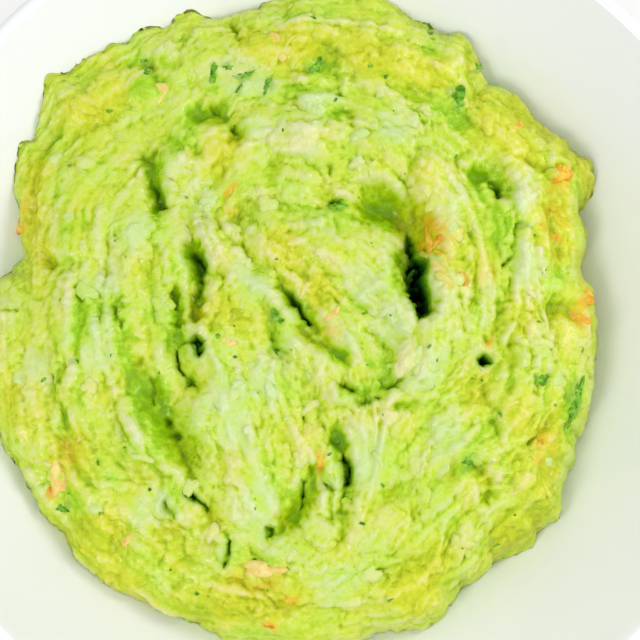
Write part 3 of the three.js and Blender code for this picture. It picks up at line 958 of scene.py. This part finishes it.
# Milky, minty patches of the mash, partly painted sheen: paler where the wet surface would
# reflect the pale light.
MILKY_SHEEN_PATCHES = [
    (-21, 66, 16, 8, 165), (20, 54, 11, 8, 20), (-2, 56, 11, 5, 80), (-13, 52, 5, 3, 20),
    (-4, 47, 7, 5, 60), (33, 34, 11, 5, 95), (54, 36, 11, 6, 50), (-57, -5, 15, 7, 80),
    (-75, -12, 12, 3, 80), (-32, 37, 10, 3, 110), (-14, -12, 15, 7, 70), (-20, -27, 8, 4, 80),
    (-27, -20, 7, 5, 20), (27, -12, 10, 4, 45), (30, -30, 13, 8, 30), (12, -32, 11, 4, 80),
    (-15, -45, 14, 8, 60), (-43, -47, 7, 4, 20), (5, -66, 9, 4, 10), (-18, 12, 12, 3, 120),
    (-55, 12, 9, 5, 80), (52, 14, 12, 3, 85), (10, 11, 9, 5, 130), (18, -1, 12, 5, 130),
    (-47, 24, 8, 4, 70),
]

# Painted shade: patches of darker, clearer green, most of them in the hollows and holes.
GREEN_SHADE_PATCHES = [
    (1, 71, 11, 5, 40), (-6, 63, 5, 1.5, 0), (-46, 64, 8, 4, 30), (-28, 65, 6, 2.5, 90),
    (-26, 57.5, 5, 3, 0), (-33, 54, 10, 4, 80), (-38, 46, 9, 3, 45), (-42, 38, 9, 4, 90),
    (-42, 27, 6, 1.5, 90), (35, 57, 8, 4, 140), (29, 74.5, 3, 3, 0), (4, 56, 5, 3.5, 60),
    (42, 38, 8, 4, 100), (47, 26, 8, 2.5, 90), (5, 30, 8, 7, 80), (16, 30, 12, 9, 100),
    (19.5, 13, 10, 3, 80), (-32, 17, 8, 5, 90), (-37, 2, 13, 4, 90), (-51, 1, 14, 2.6, 95),
    (-49, -12, 12, 3, 100), (-60.5, 1, 13, 2.4, 90), (-43, -20, 16, 9, 105), (-41, -32, 8, 3, 100),
    (-10.5, -1, 10, 3, 90), (5, -8, 4, 2, 0), (15, -9, 4, 2, 0), (12, -16.5, 15, 2.4, 15),
    (5, -29, 5, 4, 80), (-4.5, -43, 13, 4, 75), (-37, -45, 5, 2, 100), (-12, -53, 4, 2, 10),
    (-23, -57, 6, 2.6, 80), (65, -19, 5, 2.6, 90), (37, -36, 3.6, 2.6, 0), (-61.5, -18, 4, 2, 90),
    (-6, 5, 9, 3, 125), (-63, 26, 6, 2, 60),
]

# Patches of yellower, somewhat darker mash, most of them along the heap's edge.
YELLOW_PATCHES = [
    (-60, 59, 20, 13, 40), (-76, 34, 20, 6, 85), (-73, 20, 8, 6, 70), (-5, 76, 30, 8, 0),
    (21, 70, 30, 10, 165), (49, 52, 26, 9, 120), (60, 31, 26, 10, 95), (30, 29, 22, 6, 98),
    (67, 6, 12, 8, 90), (0, 9, 9, 5, 100), (-25, 3, 11, 6, 10), (-10, 20, 8, 4, 120),
    (-76, -20, 14, 9, 100), (-62, -34, 16, 10, 110), (-54, -58, 24, 16, 130), (-22, -70, 32, 12, 5),
    (56, -38, 34, 10, 75), (50, -52, 14, 9, 60), (25, -63, 18, 10, 60), (-37, -57, 12, 7, 130),
    (52, 4, 9, 3, 90), (50, -22, 7, 5, 90), (-26, 45, 8, 5, 60), (42, -14, 6, 3, 100),
    (61, 54, 30, 8, 135), (77, 32, 26, 8, 105), (82, 2, 20, 6, 90),
]

# Onion, and avocado as pale as it.
ONION_BITS = [
    (-77, -12, 6, 4, 80), (-57, -46, 4.5, 3.4, 20), (31, -37, 5, 3.4, 40), (34, 25, 4, 3, 80),
    (61, -13, 5, 3.6, 60), (10, 50, 5, 3.4, 30), (25, -8, 5, 3, 60), (-36, 30, 4, 3, 20),
]

# Bits strewn at random: their usual length, the seed, and how far out they lie as a share of
# the heap's radius.
STREWN = {
    "avocado_lumps": (4.2, 101, 0.97),
    "herb_flecks": (1.1, 71, 0.93),
    "onion_bits": (2.6, 81, 0.93),
}

# How each piece's bits are cut: their thickness, how deep they sink as a share of it, and the
# shape that chunks() gives them. The more there are, the fewer points each has.
CUTS = {
    "avocado_lumps": (2.6, 0.44, {"square": 0.85, "rough": 0.24, "seed": 102}),
    "tomato_bits": (1.8, 0.4, {"square": 0.95, "rough": 0.28, "seed": 5, "around": 24, "up": 10}),
    "tomato_pulp": (1.6, 0.5, {"square": 0.9, "rough": 0.28, "seed": 6, "around": 24, "up": 10}),
    "herb_leaves": (0.8, 0.25, {
        "square": 1.0, "rough": 0.22, "seed": 7, "lobes": 0.28, "curl": 0.9, "around": 30, "up": 10,
    }),
    "herb_flecks": (0.35, -0.05, {
        "square": 1.0, "rough": 0.2, "seed": 8, "curl": 0.3, "around": 9, "up": 5,
    }),
    "onion_bits": (1.8, 0.38, {"square": 0.7, "rough": 0.12, "seed": 9}),
}


def bit_arrays(heap, table, thickness, sink):
    """Centres, normals, sizes and directions of the bits in a table, sunk into the surface. A
    bit is no thicker than it is wide, and its normal lies between the surface's and straight
    up."""
    table = np.array(table, float)
    points, normals, _ = surface_at(heap, table[:, :2])
    normals = normals * (1 - LEVELLING) + np.array([0, 0, LEVELLING])
    normals /= np.linalg.norm(normals, axis=1, keepdims=True)
    sizes = np.stack([table[:, 2], table[:, 3], np.minimum(thickness, table[:, 3])], 1)
    centres = points - normals * sink * sizes[:, 2:3]
    return centres, normals, sizes, np.radians(table[:, 4])


def cut_bits(name, table):
    """Vertices and faces of a piece's bits: those of the table, cut as CUTS says and set into
    the heap."""
    thickness, sink, shape = CUTS[name]
    return chunks(*bit_arrays(bpy.data.objects["mash"], table, thickness, sink), **shape)


def random_table(count, size, seed, reach):
    """A table of bits at random places over the heap, with lengths from half to one and a half
    times the size. The square root of an even random number makes them as dense everywhere."""
    rng = np.random.default_rng(seed)
    angle = rng.uniform(0, 2 * np.pi, count)
    radius = edge_radius(angle) * reach * np.sqrt(rng.random(count))
    length = size * rng.uniform(0.5, 1.5, count)
    return np.stack([
        radius * np.cos(angle), radius * np.sin(angle), length,
        length * rng.uniform(0.4, 0.9, count), rng.uniform(0, 180, count),
    ], 1)


# ---------------------------------------------------------------- materials


def linear(colour):
    """A colour given as sRGB hex, or as three sRGB numbers, as linear red, green, blue and 1."""
    if isinstance(colour, str):
        colour = [int(colour[i:i + 2], 16) / 255 for i in (1, 3, 5)]
    return [c / 12.92 if c <= 0.04045 else ((c + 0.055) / 1.055) ** 2.4 for c in colour] + [1.0]


def add_node(tree, kind, settings=None, links=None):
    """Adds one node. Settings are inputs by name or number, properties, or a ramp's stops. Links
    are the sockets that feed its inputs."""
    node = tree.nodes.new(kind)
    for key, value in (settings or {}).items():
        if key == "stops":
            while len(node.color_ramp.elements) < len(value):
                node.color_ramp.elements.new(1.0)
            for element, (place, colour) in zip(node.color_ramp.elements, value):
                element.position = place
                element.color = linear(colour)
        elif isinstance(key, int) or key in node.inputs:
            node.inputs[key].default_value = value
        else:
            setattr(node, key, value)
    for key, socket in (links or {}).items():
        tree.links.new(socket, node.inputs[key])
    return node


def new_material(name):
    """An empty node material, and its node tree."""
    material = bpy.data.materials.new(name)
    material.use_nodes = True
    material.node_tree.nodes.clear()
    return material, material.node_tree


def per_metre(millimetres):
    """The scale of a noise whose blobs are that many millimetres across."""
    return 1 / (millimetres * MM)


def glaze_material(settings):
    """Glazed stoneware, dipped and fired: a neutral white that clouds very slightly, under a
    glossy skin with waves so low that they only soften its reflections."""
    material, tree = new_material("Stoneware, white dipped glaze")
    place = add_node(tree, "ShaderNodeTexCoord").outputs["Object"]
    cloud = add_node(
        tree, "ShaderNodeTexNoise", {"Scale": per_metre(35), "Detail": 2.0}, {"Vector": place},
    )
    tint = add_node(
        tree, "ShaderNodeMix",
        {"data_type": "RGBA", 6: linear(settings.glaze), 7: linear("#ECEDEC")},
        {0: cloud.outputs["Fac"]},
    )
    wave = add_node(
        tree, "ShaderNodeTexNoise", {"Scale": per_metre(9), "Detail": 1.0}, {"Vector": place},
    )
    bump = add_node(
        tree, "ShaderNodeBump", {"Strength": 0.15, "Distance": 0.2 * MM},
        {"Height": wave.outputs["Fac"]},
    )
    shader = add_node(
        tree, "ShaderNodeBsdfPrincipled",
        {"Roughness": 0.16, "IOR": 1.5, "Coat Weight": 0.3, "Coat Roughness": 0.05},
        {"Base Color": tint.outputs[2], "Normal": bump.outputs["Normal"]},
    )
    add_node(tree, "ShaderNodeOutputMaterial", None, {"Surface": shader.outputs["BSDF"]})
    return material


MASH_NAME = "Avocado, mashed and folded with a spoon"


def mash_material(settings):
    """Mashed avocado, folded with a spoon: pale and milky on the backs of the folds, a painted
    highlight, clear leaf green in the creases and nearly black in the holes, painted shade, in
    yellower and mintier patches, the mintiest partly a painted sheen, stained by the tomato and
    the herb, wet."""
    material, tree = new_material(MASH_NAME)
    place = add_node(tree, "ShaderNodeTexCoord").outputs["Object"]
    field = {
        name: add_node(tree, "ShaderNodeAttribute", {"attribute_name": name}).outputs["Fac"]
        for name in COLOUR_FIELDS
    }
    patch, curd, grain = (
        add_node(
            tree, "ShaderNodeTexNoise",
            {"Scale": per_metre(size), "Detail": 3.0, "Roughness": 0.6}, {"Vector": place},
        ).outputs["Fac"]
        for size in (16, 4.5, 1.3)
    )
    # How green and dark the mash is: more in the creases and on the clearer green patches, both
    # painted shade, and on the yellower patches; less on strands and on the milky patches, which
    # are partly painted sheen; with three sizes of mottling. Its usual range becomes 0 to 1.
    tone = add_node(
        tree, "ShaderNodeMath", {"operation": "MULTIPLY", 1: 0.45}, {0: field["crease"]},
    )
    weights = (
        (field["strand"], -0.18), (field["milk"], -0.45), (field["green"], 0.48),
        (field["yellow"], 0.22), (patch, -0.6), (curd, -0.4), (grain, -1.1),
    )
    for value, weight in weights:
        tone = add_node(
            tree, "ShaderNodeMath", {"operation": "MULTIPLY_ADD", 1: weight},
            {0: value, 2: tone.outputs[0]},
        )
    share = add_node(
        tree, "ShaderNodeMapRange", {"From Min": -2.15, "From Max": 0.02},
        {"Value": tone.outputs[0]},
    )
    # Two ramps from milky to clear: one of just ripe avocado, one of riper, yellow avocado. Their
    # pale end carries the painted highlight and sheen, their clear green end the painted shade.
    minty, yellow = (
        add_node(
            tree, "ShaderNodeValToRGB", {"stops": stops}, {"Fac": share.outputs[0]},
        ).outputs["Color"]
        for stops in (
            [
                (0, "#CEE0A6"), (0.3, "#C4DC80"), (0.5, "#C0DE4C"),
                (0.72, settings.crease), (1, "#80AE00"),
            ],
            [
                (0, "#E8DEA6"), (0.3, "#E0DA82"), (0.5, settings.mash),
                (0.72, "#BCC608"), (1, "#9EA400"),
            ],
        )
    )
    # How ripe it is, in patches of its own size, and mintier on the milky patches, partly painted
    # sheen, and on the green patches, painted shade.
    ripe = add_node(
        tree, "ShaderNodeTexNoise", {"Scale": per_metre(11), "Detail": 3.0}, {"Vector": place},
    )
    for name, weight in (("milk", -0.15), ("green", -0.3), ("yellow", 0.3), ("strand", 0.05)):
        ripe = add_node(
            tree, "ShaderNodeMath", {"operation": "MULTIPLY_ADD", 1: weight},
            {0: field[name], 2: ripe.outputs[0]},
        )
    ripe_share = add_node(
        tree, "ShaderNodeMapRange", {"From Min": 0.28, "From Max": 0.84},
        {"Value": ripe.outputs[0]},
    )
    colour = add_node(
        tree, "ShaderNodeMix", {"data_type": "RGBA"},
        {0: ripe_share.outputs[0], 6: minty, 7: yellow},
    )
    # Tints round the tomato and the herb, and how strong each is at most.
    for name, tint, most in (("tomato", "#E6AC20", 0.8), ("herb", "#7FA83C", 0.55)):
        tinted = add_node(
            tree, "ShaderNodeMath", {"operation": "MULTIPLY", 1: most}, {0: field[name]},
        )
        colour = add_node(
            tree, "ShaderNodeMix", {"data_type": "RGBA", 7: linear(tint)},
            {0: tinted.outputs[0], 6: colour.outputs[2]},
        )
    # The holes darken with depth, because little light comes back out of them.
    deep_stops = [
        (0.0, "#A8C810"), (0.22, "#7AA80C"), (0.45, "#457E10"), (0.75, "#1C5410"), (1.0, "#0C380E"),
    ]
    deep_colour = add_node(
        tree, "ShaderNodeValToRGB", {"stops": deep_stops}, {"Fac": field["deep"]},
    )
    deep_share = add_node(
        tree, "ShaderNodeMapRange", {"From Min": 0.01, "From Max": 0.16}, {"Value": field["deep"]},
    )
    colour = add_node(
        tree, "ShaderNodeMix", {"data_type": "RGBA"},
        {0: deep_share.outputs[0], 6: colour.outputs[2], 7: deep_colour.outputs["Color"]},
    )
    # The curds differ in how wet they are, and the flesh's grain is the fine bump.
    wet = add_node(
        tree, "ShaderNodeMapRange",
        {"From Min": 0.35, "From Max": 0.65, "To Min": 0.3, "To Max": 0.5}, {"Value": curd},
    )
    fine = add_node(
        tree, "ShaderNodeTexNoise",
        {"Scale": per_metre(1.3), "Detail": 4.0, "Roughness": 0.65}, {"Vector": place},
    )
    bump = add_node(
        tree, "ShaderNodeBump", {"Strength": 0.85, "Distance": 0.6 * MM},
        {"Height": fine.outputs["Fac"]},
    )
    shader = add_node(
        tree, "ShaderNodeBsdfPrincipled",
        {
            "IOR": 1.36, "Specular IOR Level": 0.32, "Coat Weight": 0.22, "Coat Roughness": 0.07,
            "Subsurface Weight": 0.12, "Subsurface Radius": (1.0, 1.0, 0.3),
            "Subsurface Scale": 1.0 * MM,
        },
        {
            "Base Color": colour.outputs[2], "Roughness": wet.outputs[0],
            "Normal": bump.outputs["Normal"],
        },
    )
    add_node(tree, "ShaderNodeOutputMaterial", None, {"Surface": shader.outputs["BSDF"]})
    return material


def bit_material(name, dark, middle, light, blob, roughness):
    """A moist chopped bit: three tones in blobs of the given size in mm, with the fine grain of
    its cells, under a thin wet film."""
    material, tree = new_material(name)
    place = add_node(tree, "ShaderNodeTexCoord").outputs["Object"]
    tone = add_node(
        tree, "ShaderNodeTexNoise",
        {"Scale": per_metre(blob), "Detail": 3.0, "Roughness": 0.6}, {"Vector": place},
    )
    colour = add_node(
        tree, "ShaderNodeValToRGB", {"stops": [(0.32, dark), (0.5, middle), (0.68, light)]},
        {"Fac": tone.outputs["Fac"]},
    )
    fine = add_node(
        tree, "ShaderNodeTexNoise", {"Scale": per_metre(0.8), "Detail": 2.0}, {"Vector": place},
    )
    bump = add_node(
        tree, "ShaderNodeBump", {"Strength": 0.5, "Distance": 0.3 * MM},
        {"Height": fine.outputs["Fac"]},
    )
    shader = add_node(
        tree, "ShaderNodeBsdfPrincipled",
        {
            "Roughness": roughness, "IOR": 1.4, "Specular IOR Level": 0.3,
            "Coat Weight": 0.06, "Coat Roughness": 0.2,
        },
        {"Base Color": colour.outputs["Color"], "Normal": bump.outputs["Normal"]},
    )
    add_node(tree, "ShaderNodeOutputMaterial", None, {"Surface": shader.outputs["BSDF"]})
    return material


# ---------------------------------------------------------------- the add-on

# What all settings that are colours have in common.
COLOUR = {"subtype": "COLOR_GAMMA", "size": 3, "min": 0, "max": 1}


class GuacamoleBowlSettings(bpy.types.PropertyGroup):
    """Finish of the bowl."""

    glaze: bpy.props.FloatVectorProperty(
        name="Glaze", description="Colour of the glaze", default=(0.94, 0.945, 0.95), **COLOUR,
    )


class GuacamoleHeapSettings(bpy.types.PropertyGroup):
    """Shape and colours of the guacamole."""

    seed: bpy.props.IntProperty(
        name="Seed", description="Changes the random part of the relief", default=11, min=0,
    )
    cells: bpy.props.IntProperty(
        name="Grid cells", description="Cells across the heap's grid", default=304, min=40, max=310,
    )
    fold_height: bpy.props.FloatProperty(
        name="Fold height", description="Height of the spoon folds, as a share of that in FOLDS",
        subtype="FACTOR", default=0.65, min=0, max=2,
    )
    lump_height: bpy.props.FloatProperty(
        name="Lump height", description="Height of the small lumps, as a share of that in CRUMBS",
        subtype="FACTOR", default=0.55, min=0, max=3,
    )
    overhang: bpy.props.FloatProperty(
        name="Overhang", description="How far lumps lean over the creases, in millimetres",
        default=0.25, min=0, max=2,
    )
    mash: bpy.props.FloatVectorProperty(
        name="Mash", description="Usual colour of the riper mash", default=(0.82, 0.84, 0.20),
        **COLOUR,
    )
    # Painted shade: the colour painted into the creases.
    crease: bpy.props.FloatVectorProperty(
        name="Crease", description="Colour of the creases", default=(0.62, 0.80, 0.05), **COLOUR,
    )


class GuacamoleBitsSettings(bpy.types.PropertyGroup):
    """Counts and colours of the bits in the guacamole."""

    lumps: bpy.props.IntProperty(
        name="Avocado lumps", description="Number of small avocado lumps", default=380, min=1,
    )
    flecks: bpy.props.IntProperty(
        name="Herb flecks", description="Number of small herb flecks", default=70, min=1,
    )
    onions: bpy.props.IntProperty(
        name="Onion bits", description="Number of scattered onion bits", default=16, min=0,
    )
    tomato: bpy.props.FloatVectorProperty(
        name="Tomato", description="Usual colour of the tomato", default=(0.90, 0.68, 0.18),
        **COLOUR,
    )
    herb: bpy.props.FloatVectorProperty(
        name="Herb", description="Usual colour of the herb", default=(0.38, 0.62, 0.06), **COLOUR,
    )


class GuacamoleStageSettings(bpy.types.PropertyGroup):
    """Camera and light of the stage."""

    distance: bpy.props.FloatProperty(
        name="Camera distance", description="From the camera to the middle of the bowl",
        subtype="DISTANCE", unit="LENGTH", default=0.5, min=0.2,
    )
    elevation: bpy.props.FloatProperty(
        name="Camera elevation", description="Height of the view above level", subtype="ANGLE",
        default=math.radians(80), min=0, max=math.radians(90),
    )
    key: bpy.props.FloatProperty(
        name="Key light", description="Power of the light from behind on the right",
        unit="POWER", default=1.3, min=0,
    )
    fill: bpy.props.FloatProperty(
        name="Fill light", description="Power of the light from the front on the left",
        unit="POWER", default=1.3, min=0,
    )
    side: bpy.props.FloatProperty(
        name="Side light", description="Power of the light from the front on the right",
        unit="POWER", default=0.5, min=0,
    )
    sky: bpy.props.FloatProperty(
        name="Sky", description="Strength of the even pale light", default=0.73, min=0,
    )


# The stage, in metres.
FLOOR_HALF = 1.5  # half the floor's side
VIEW_CENTRE = np.array([0, -0.0005, 0.056])  # where the camera looks
SENSOR_WIDTH = 36  # in millimetres, as the lens is
LENS = 112.5
VIEW_END = 20  # how far the camera sees
LAMP_WIDTH = 0.25
LAMP_PLACES = {  # each faces the bowl's foot
    "key": (0.45, 0.25, 0.40),
    "fill": (-0.30, -0.30, 0.50),
    "side": (0.45, -0.20, 0.35),
}


def place_piece(piece, material, node=None):
    """Gives a piece its material, hangs it under the root body, and hides the CAD part it replaces.
    """
    piece.data.materials.append(material)
    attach(piece, "root")
    if node:
        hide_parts(node)


def add_bits(name, table, material):
    """Adds the bits of a table as one piece."""
    place_piece(build_mesh(name, *cut_bits(name, table)), material)


class GUACAMOLE_OT_bowl(bpy.types.Operator):
    """Add the white bowl"""

    bl_idname = "guacamole.add_bowl"
    bl_label = "Bowl"

    def execute(self, context):
        piece = build_mesh("bowl_shell", *turned(bowl_profile(), BOWL_SEGMENTS))
        place_piece(piece, glaze_material(context.scene.guacamole_bowl), "bowl")
        return {"FINISHED"}


class GUACAMOLE_OT_heap(bpy.types.Operator):
    """Add the heap of guacamole"""

    bl_idname = "guacamole.add_heap"
    bl_label = "Guacamole"

    def execute(self, context):
        settings = context.scene.guacamole_heap
        piece = build_mesh("mash", *heap_surface(settings))
        place_piece(piece, mash_material(settings), "guacamole")
        return {"FINISHED"}


class GUACAMOLE_OT_avocado(bpy.types.Operator):
    """Add the small lumps of avocado that the mashing left"""

    bl_idname = "guacamole.add_avocado"
    bl_label = "Avocado lumps"

    def execute(self, context):
        table = random_table(context.scene.guacamole_bits.lumps, *STREWN["avocado_lumps"])
        bits = cut_bits("avocado_lumps", table)
        colours = local_colours(bpy.data.objects["mash"], table, len(bits[0]) // len(table))
        piece = build_mesh("avocado_lumps", *bits, colours)
        place_piece(piece, bpy.data.materials[MASH_NAME])
        return {"FINISHED"}


class GUACAMOLE_OT_tomato(bpy.types.Operator):
    """Add the bits of tomato"""

    bl_idname = "guacamole.add_tomato"
    bl_label = "Tomato"

    def execute(self, context):
        usual = context.scene.guacamole_bits.tomato
        # Cut flesh is wet, deep orange at the skin's side and yellow where its cells are opened.
        flesh = bit_material("Tomato flesh, knife-cut", "#C87414", usual, "#F0D050", 3.0, 0.35)
        add_bits("tomato_bits", TOMATO_BITS, flesh)
        # Pulp is the pale, watery middle, milky with the avocado mashed into it.
        pulp = bit_material("Tomato pulp, mashed in", "#DCB454", "#E4CC74", "#E8DC90", 3.0, 0.35)
        add_bits("tomato_pulp", PULP_BITS, pulp)
        return {"FINISHED"}


class GUACAMOLE_OT_herb(bpy.types.Operator):
    """Add the bits of herb"""

    bl_idname = "guacamole.add_herb"
    bl_label = "Herb"

    def execute(self, context):
        settings = context.scene.guacamole_bits
        # Chopped leaf is dull, dark where it is bruised and yellow-green along its veins.
        leaf = bit_material(
            "Coriander leaf, chopped and bruised", "#2E640A", settings.herb, "#92C440", 1.6, 0.5,
        )
        add_bits("herb_leaves", HERB_BITS, leaf)
        flecks = random_table(settings.flecks, *STREWN["herb_flecks"])
        add_bits("herb_flecks", flecks, leaf)
        return {"FINISHED"}


class GUACAMOLE_OT_onion(bpy.types.Operator):
    """Add the bits of onion"""

    bl_idname = "guacamole.add_onion"
    bl_label = "Onion"

    def execute(self, context):
        strewn = random_table(context.scene.guacamole_bits.onions, *STREWN["onion_bits"])
        # Raw dice are glassy and pale, and take their green from the mash that coats them.
        dice = bit_material("White onion, finely diced", "#B2CA66", "#C2D67E", "#D0DC98", 3.0, 0.35)
        add_bits("onion_bits", np.concatenate([ONION_BITS, strewn]), dice)
        return {"FINISHED"}


class GUACAMOLE_OT_stage(bpy.types.Operator):
    """Add the pale floor, the lights and the camera"""

    bl_idname = "guacamole.add_stage"
    bl_label = "Stage"

    def execute(self, context):
        settings = context.scene.guacamole_stage
        corners = np.array([[-1, -1, 0], [1, -1, 0], [1, 1, 0], [-1, 1, 0]]) * FLOOR_HALF / MM
        floor = build_mesh("floor", corners, np.array([[0, 1, 2, 3]]), np.empty((0, 3), int))
        material, tree = new_material("Painted board, matt white")
        shader = add_node(
            tree, "ShaderNodeBsdfPrincipled", {"Base Color": linear("#F2F2EE"), "Roughness": 0.7},
        )
        add_node(tree, "ShaderNodeOutputMaterial", None, {"Surface": shader.outputs["BSDF"]})
        floor.data.materials.append(material)

        way = np.array([0, -math.cos(settings.elevation), math.sin(settings.elevation)])
        camera = bpy.data.objects.new("camera", bpy.data.cameras.new("camera"))
        camera.data.sensor_width = SENSOR_WIDTH
        camera.data.lens = LENS
        camera.data.clip_end = VIEW_END
        camera.location = VIEW_CENTRE + settings.distance * way
        camera.rotation_euler = (math.pi / 2 - settings.elevation, 0, 0)
        context.scene.collection.objects.link(camera)
        context.scene.camera = camera

        for name, place in LAMP_PLACES.items():
            light = bpy.data.lights.new(name, "AREA")
            light.shape = "DISK"
            light.size = LAMP_WIDTH
            light.energy = getattr(settings, name)
            light.color = linear("#FFFEFC")[:3]
            lamp = bpy.data.objects.new(name, light)
            lamp.location = place
            lamp.rotation_euler = Vector(place).to_track_quat("Z", "Y").to_euler()
            context.scene.collection.objects.link(lamp)

        world = bpy.data.worlds.new("sky")
        world.use_nodes = True
        background = world.node_tree.nodes["Background"]
        background.inputs["Color"].default_value = linear("#FAFCFF")
        background.inputs["Strength"].default_value = settings.sky
        context.scene.world = world
        context.scene.view_settings.view_transform = "Standard"
        return {"FINISHED"}


PIECE_OPERATORS = [
    GUACAMOLE_OT_bowl, GUACAMOLE_OT_heap, GUACAMOLE_OT_avocado, GUACAMOLE_OT_tomato,
    GUACAMOLE_OT_herb, GUACAMOLE_OT_onion, GUACAMOLE_OT_stage,
]
SETTINGS = {
    "guacamole_bowl": GuacamoleBowlSettings,
    "guacamole_heap": GuacamoleHeapSettings,
    "guacamole_bits": GuacamoleBitsSettings,
    "guacamole_stage": GuacamoleStageSettings,
}


class GUACAMOLE_PT_panel(bpy.types.Panel):
    """Buttons and settings for the guacamole"""

    bl_idname = "GUACAMOLE_PT_panel"
    bl_label = "Guacamole in a bowl"
    bl_space_type = "VIEW_3D"
    bl_region_type = "UI"
    bl_category = "Guacamole"

    def draw(self, context):
        for operator in PIECE_OPERATORS:
            self.layout.operator(operator.bl_idname)
        for name, group in SETTINGS.items():
            box = self.layout.box()
            for field in group.__annotations__:
                box.prop(getattr(context.scene, name), field)


def register():
    """Registers the classes, and gives each scene the groups of settings."""
    for group in SETTINGS.values():
        bpy.utils.register_class(group)
    for operator in PIECE_OPERATORS:
        bpy.utils.register_class(operator)
    bpy.utils.register_class(GUACAMOLE_PT_panel)
    for name, group in SETTINGS.items():
        setattr(bpy.types.Scene, name, bpy.props.PointerProperty(type=group))


def unregister():
    """Takes back what register did."""
    for name in SETTINGS:
        delattr(bpy.types.Scene, name)
    bpy.utils.unregister_class(GUACAMOLE_PT_panel)
    for operator in reversed(PIECE_OPERATORS):
        bpy.utils.unregister_class(operator)
    for group in SETTINGS.values():
        bpy.utils.unregister_class(group)


def main():
    register()
    for operator in PIECE_OPERATORS:
        group, action = operator.bl_idname.split(".")
        getattr(getattr(bpy.ops, group), action)()


if __name__ == "__main__":
    main()
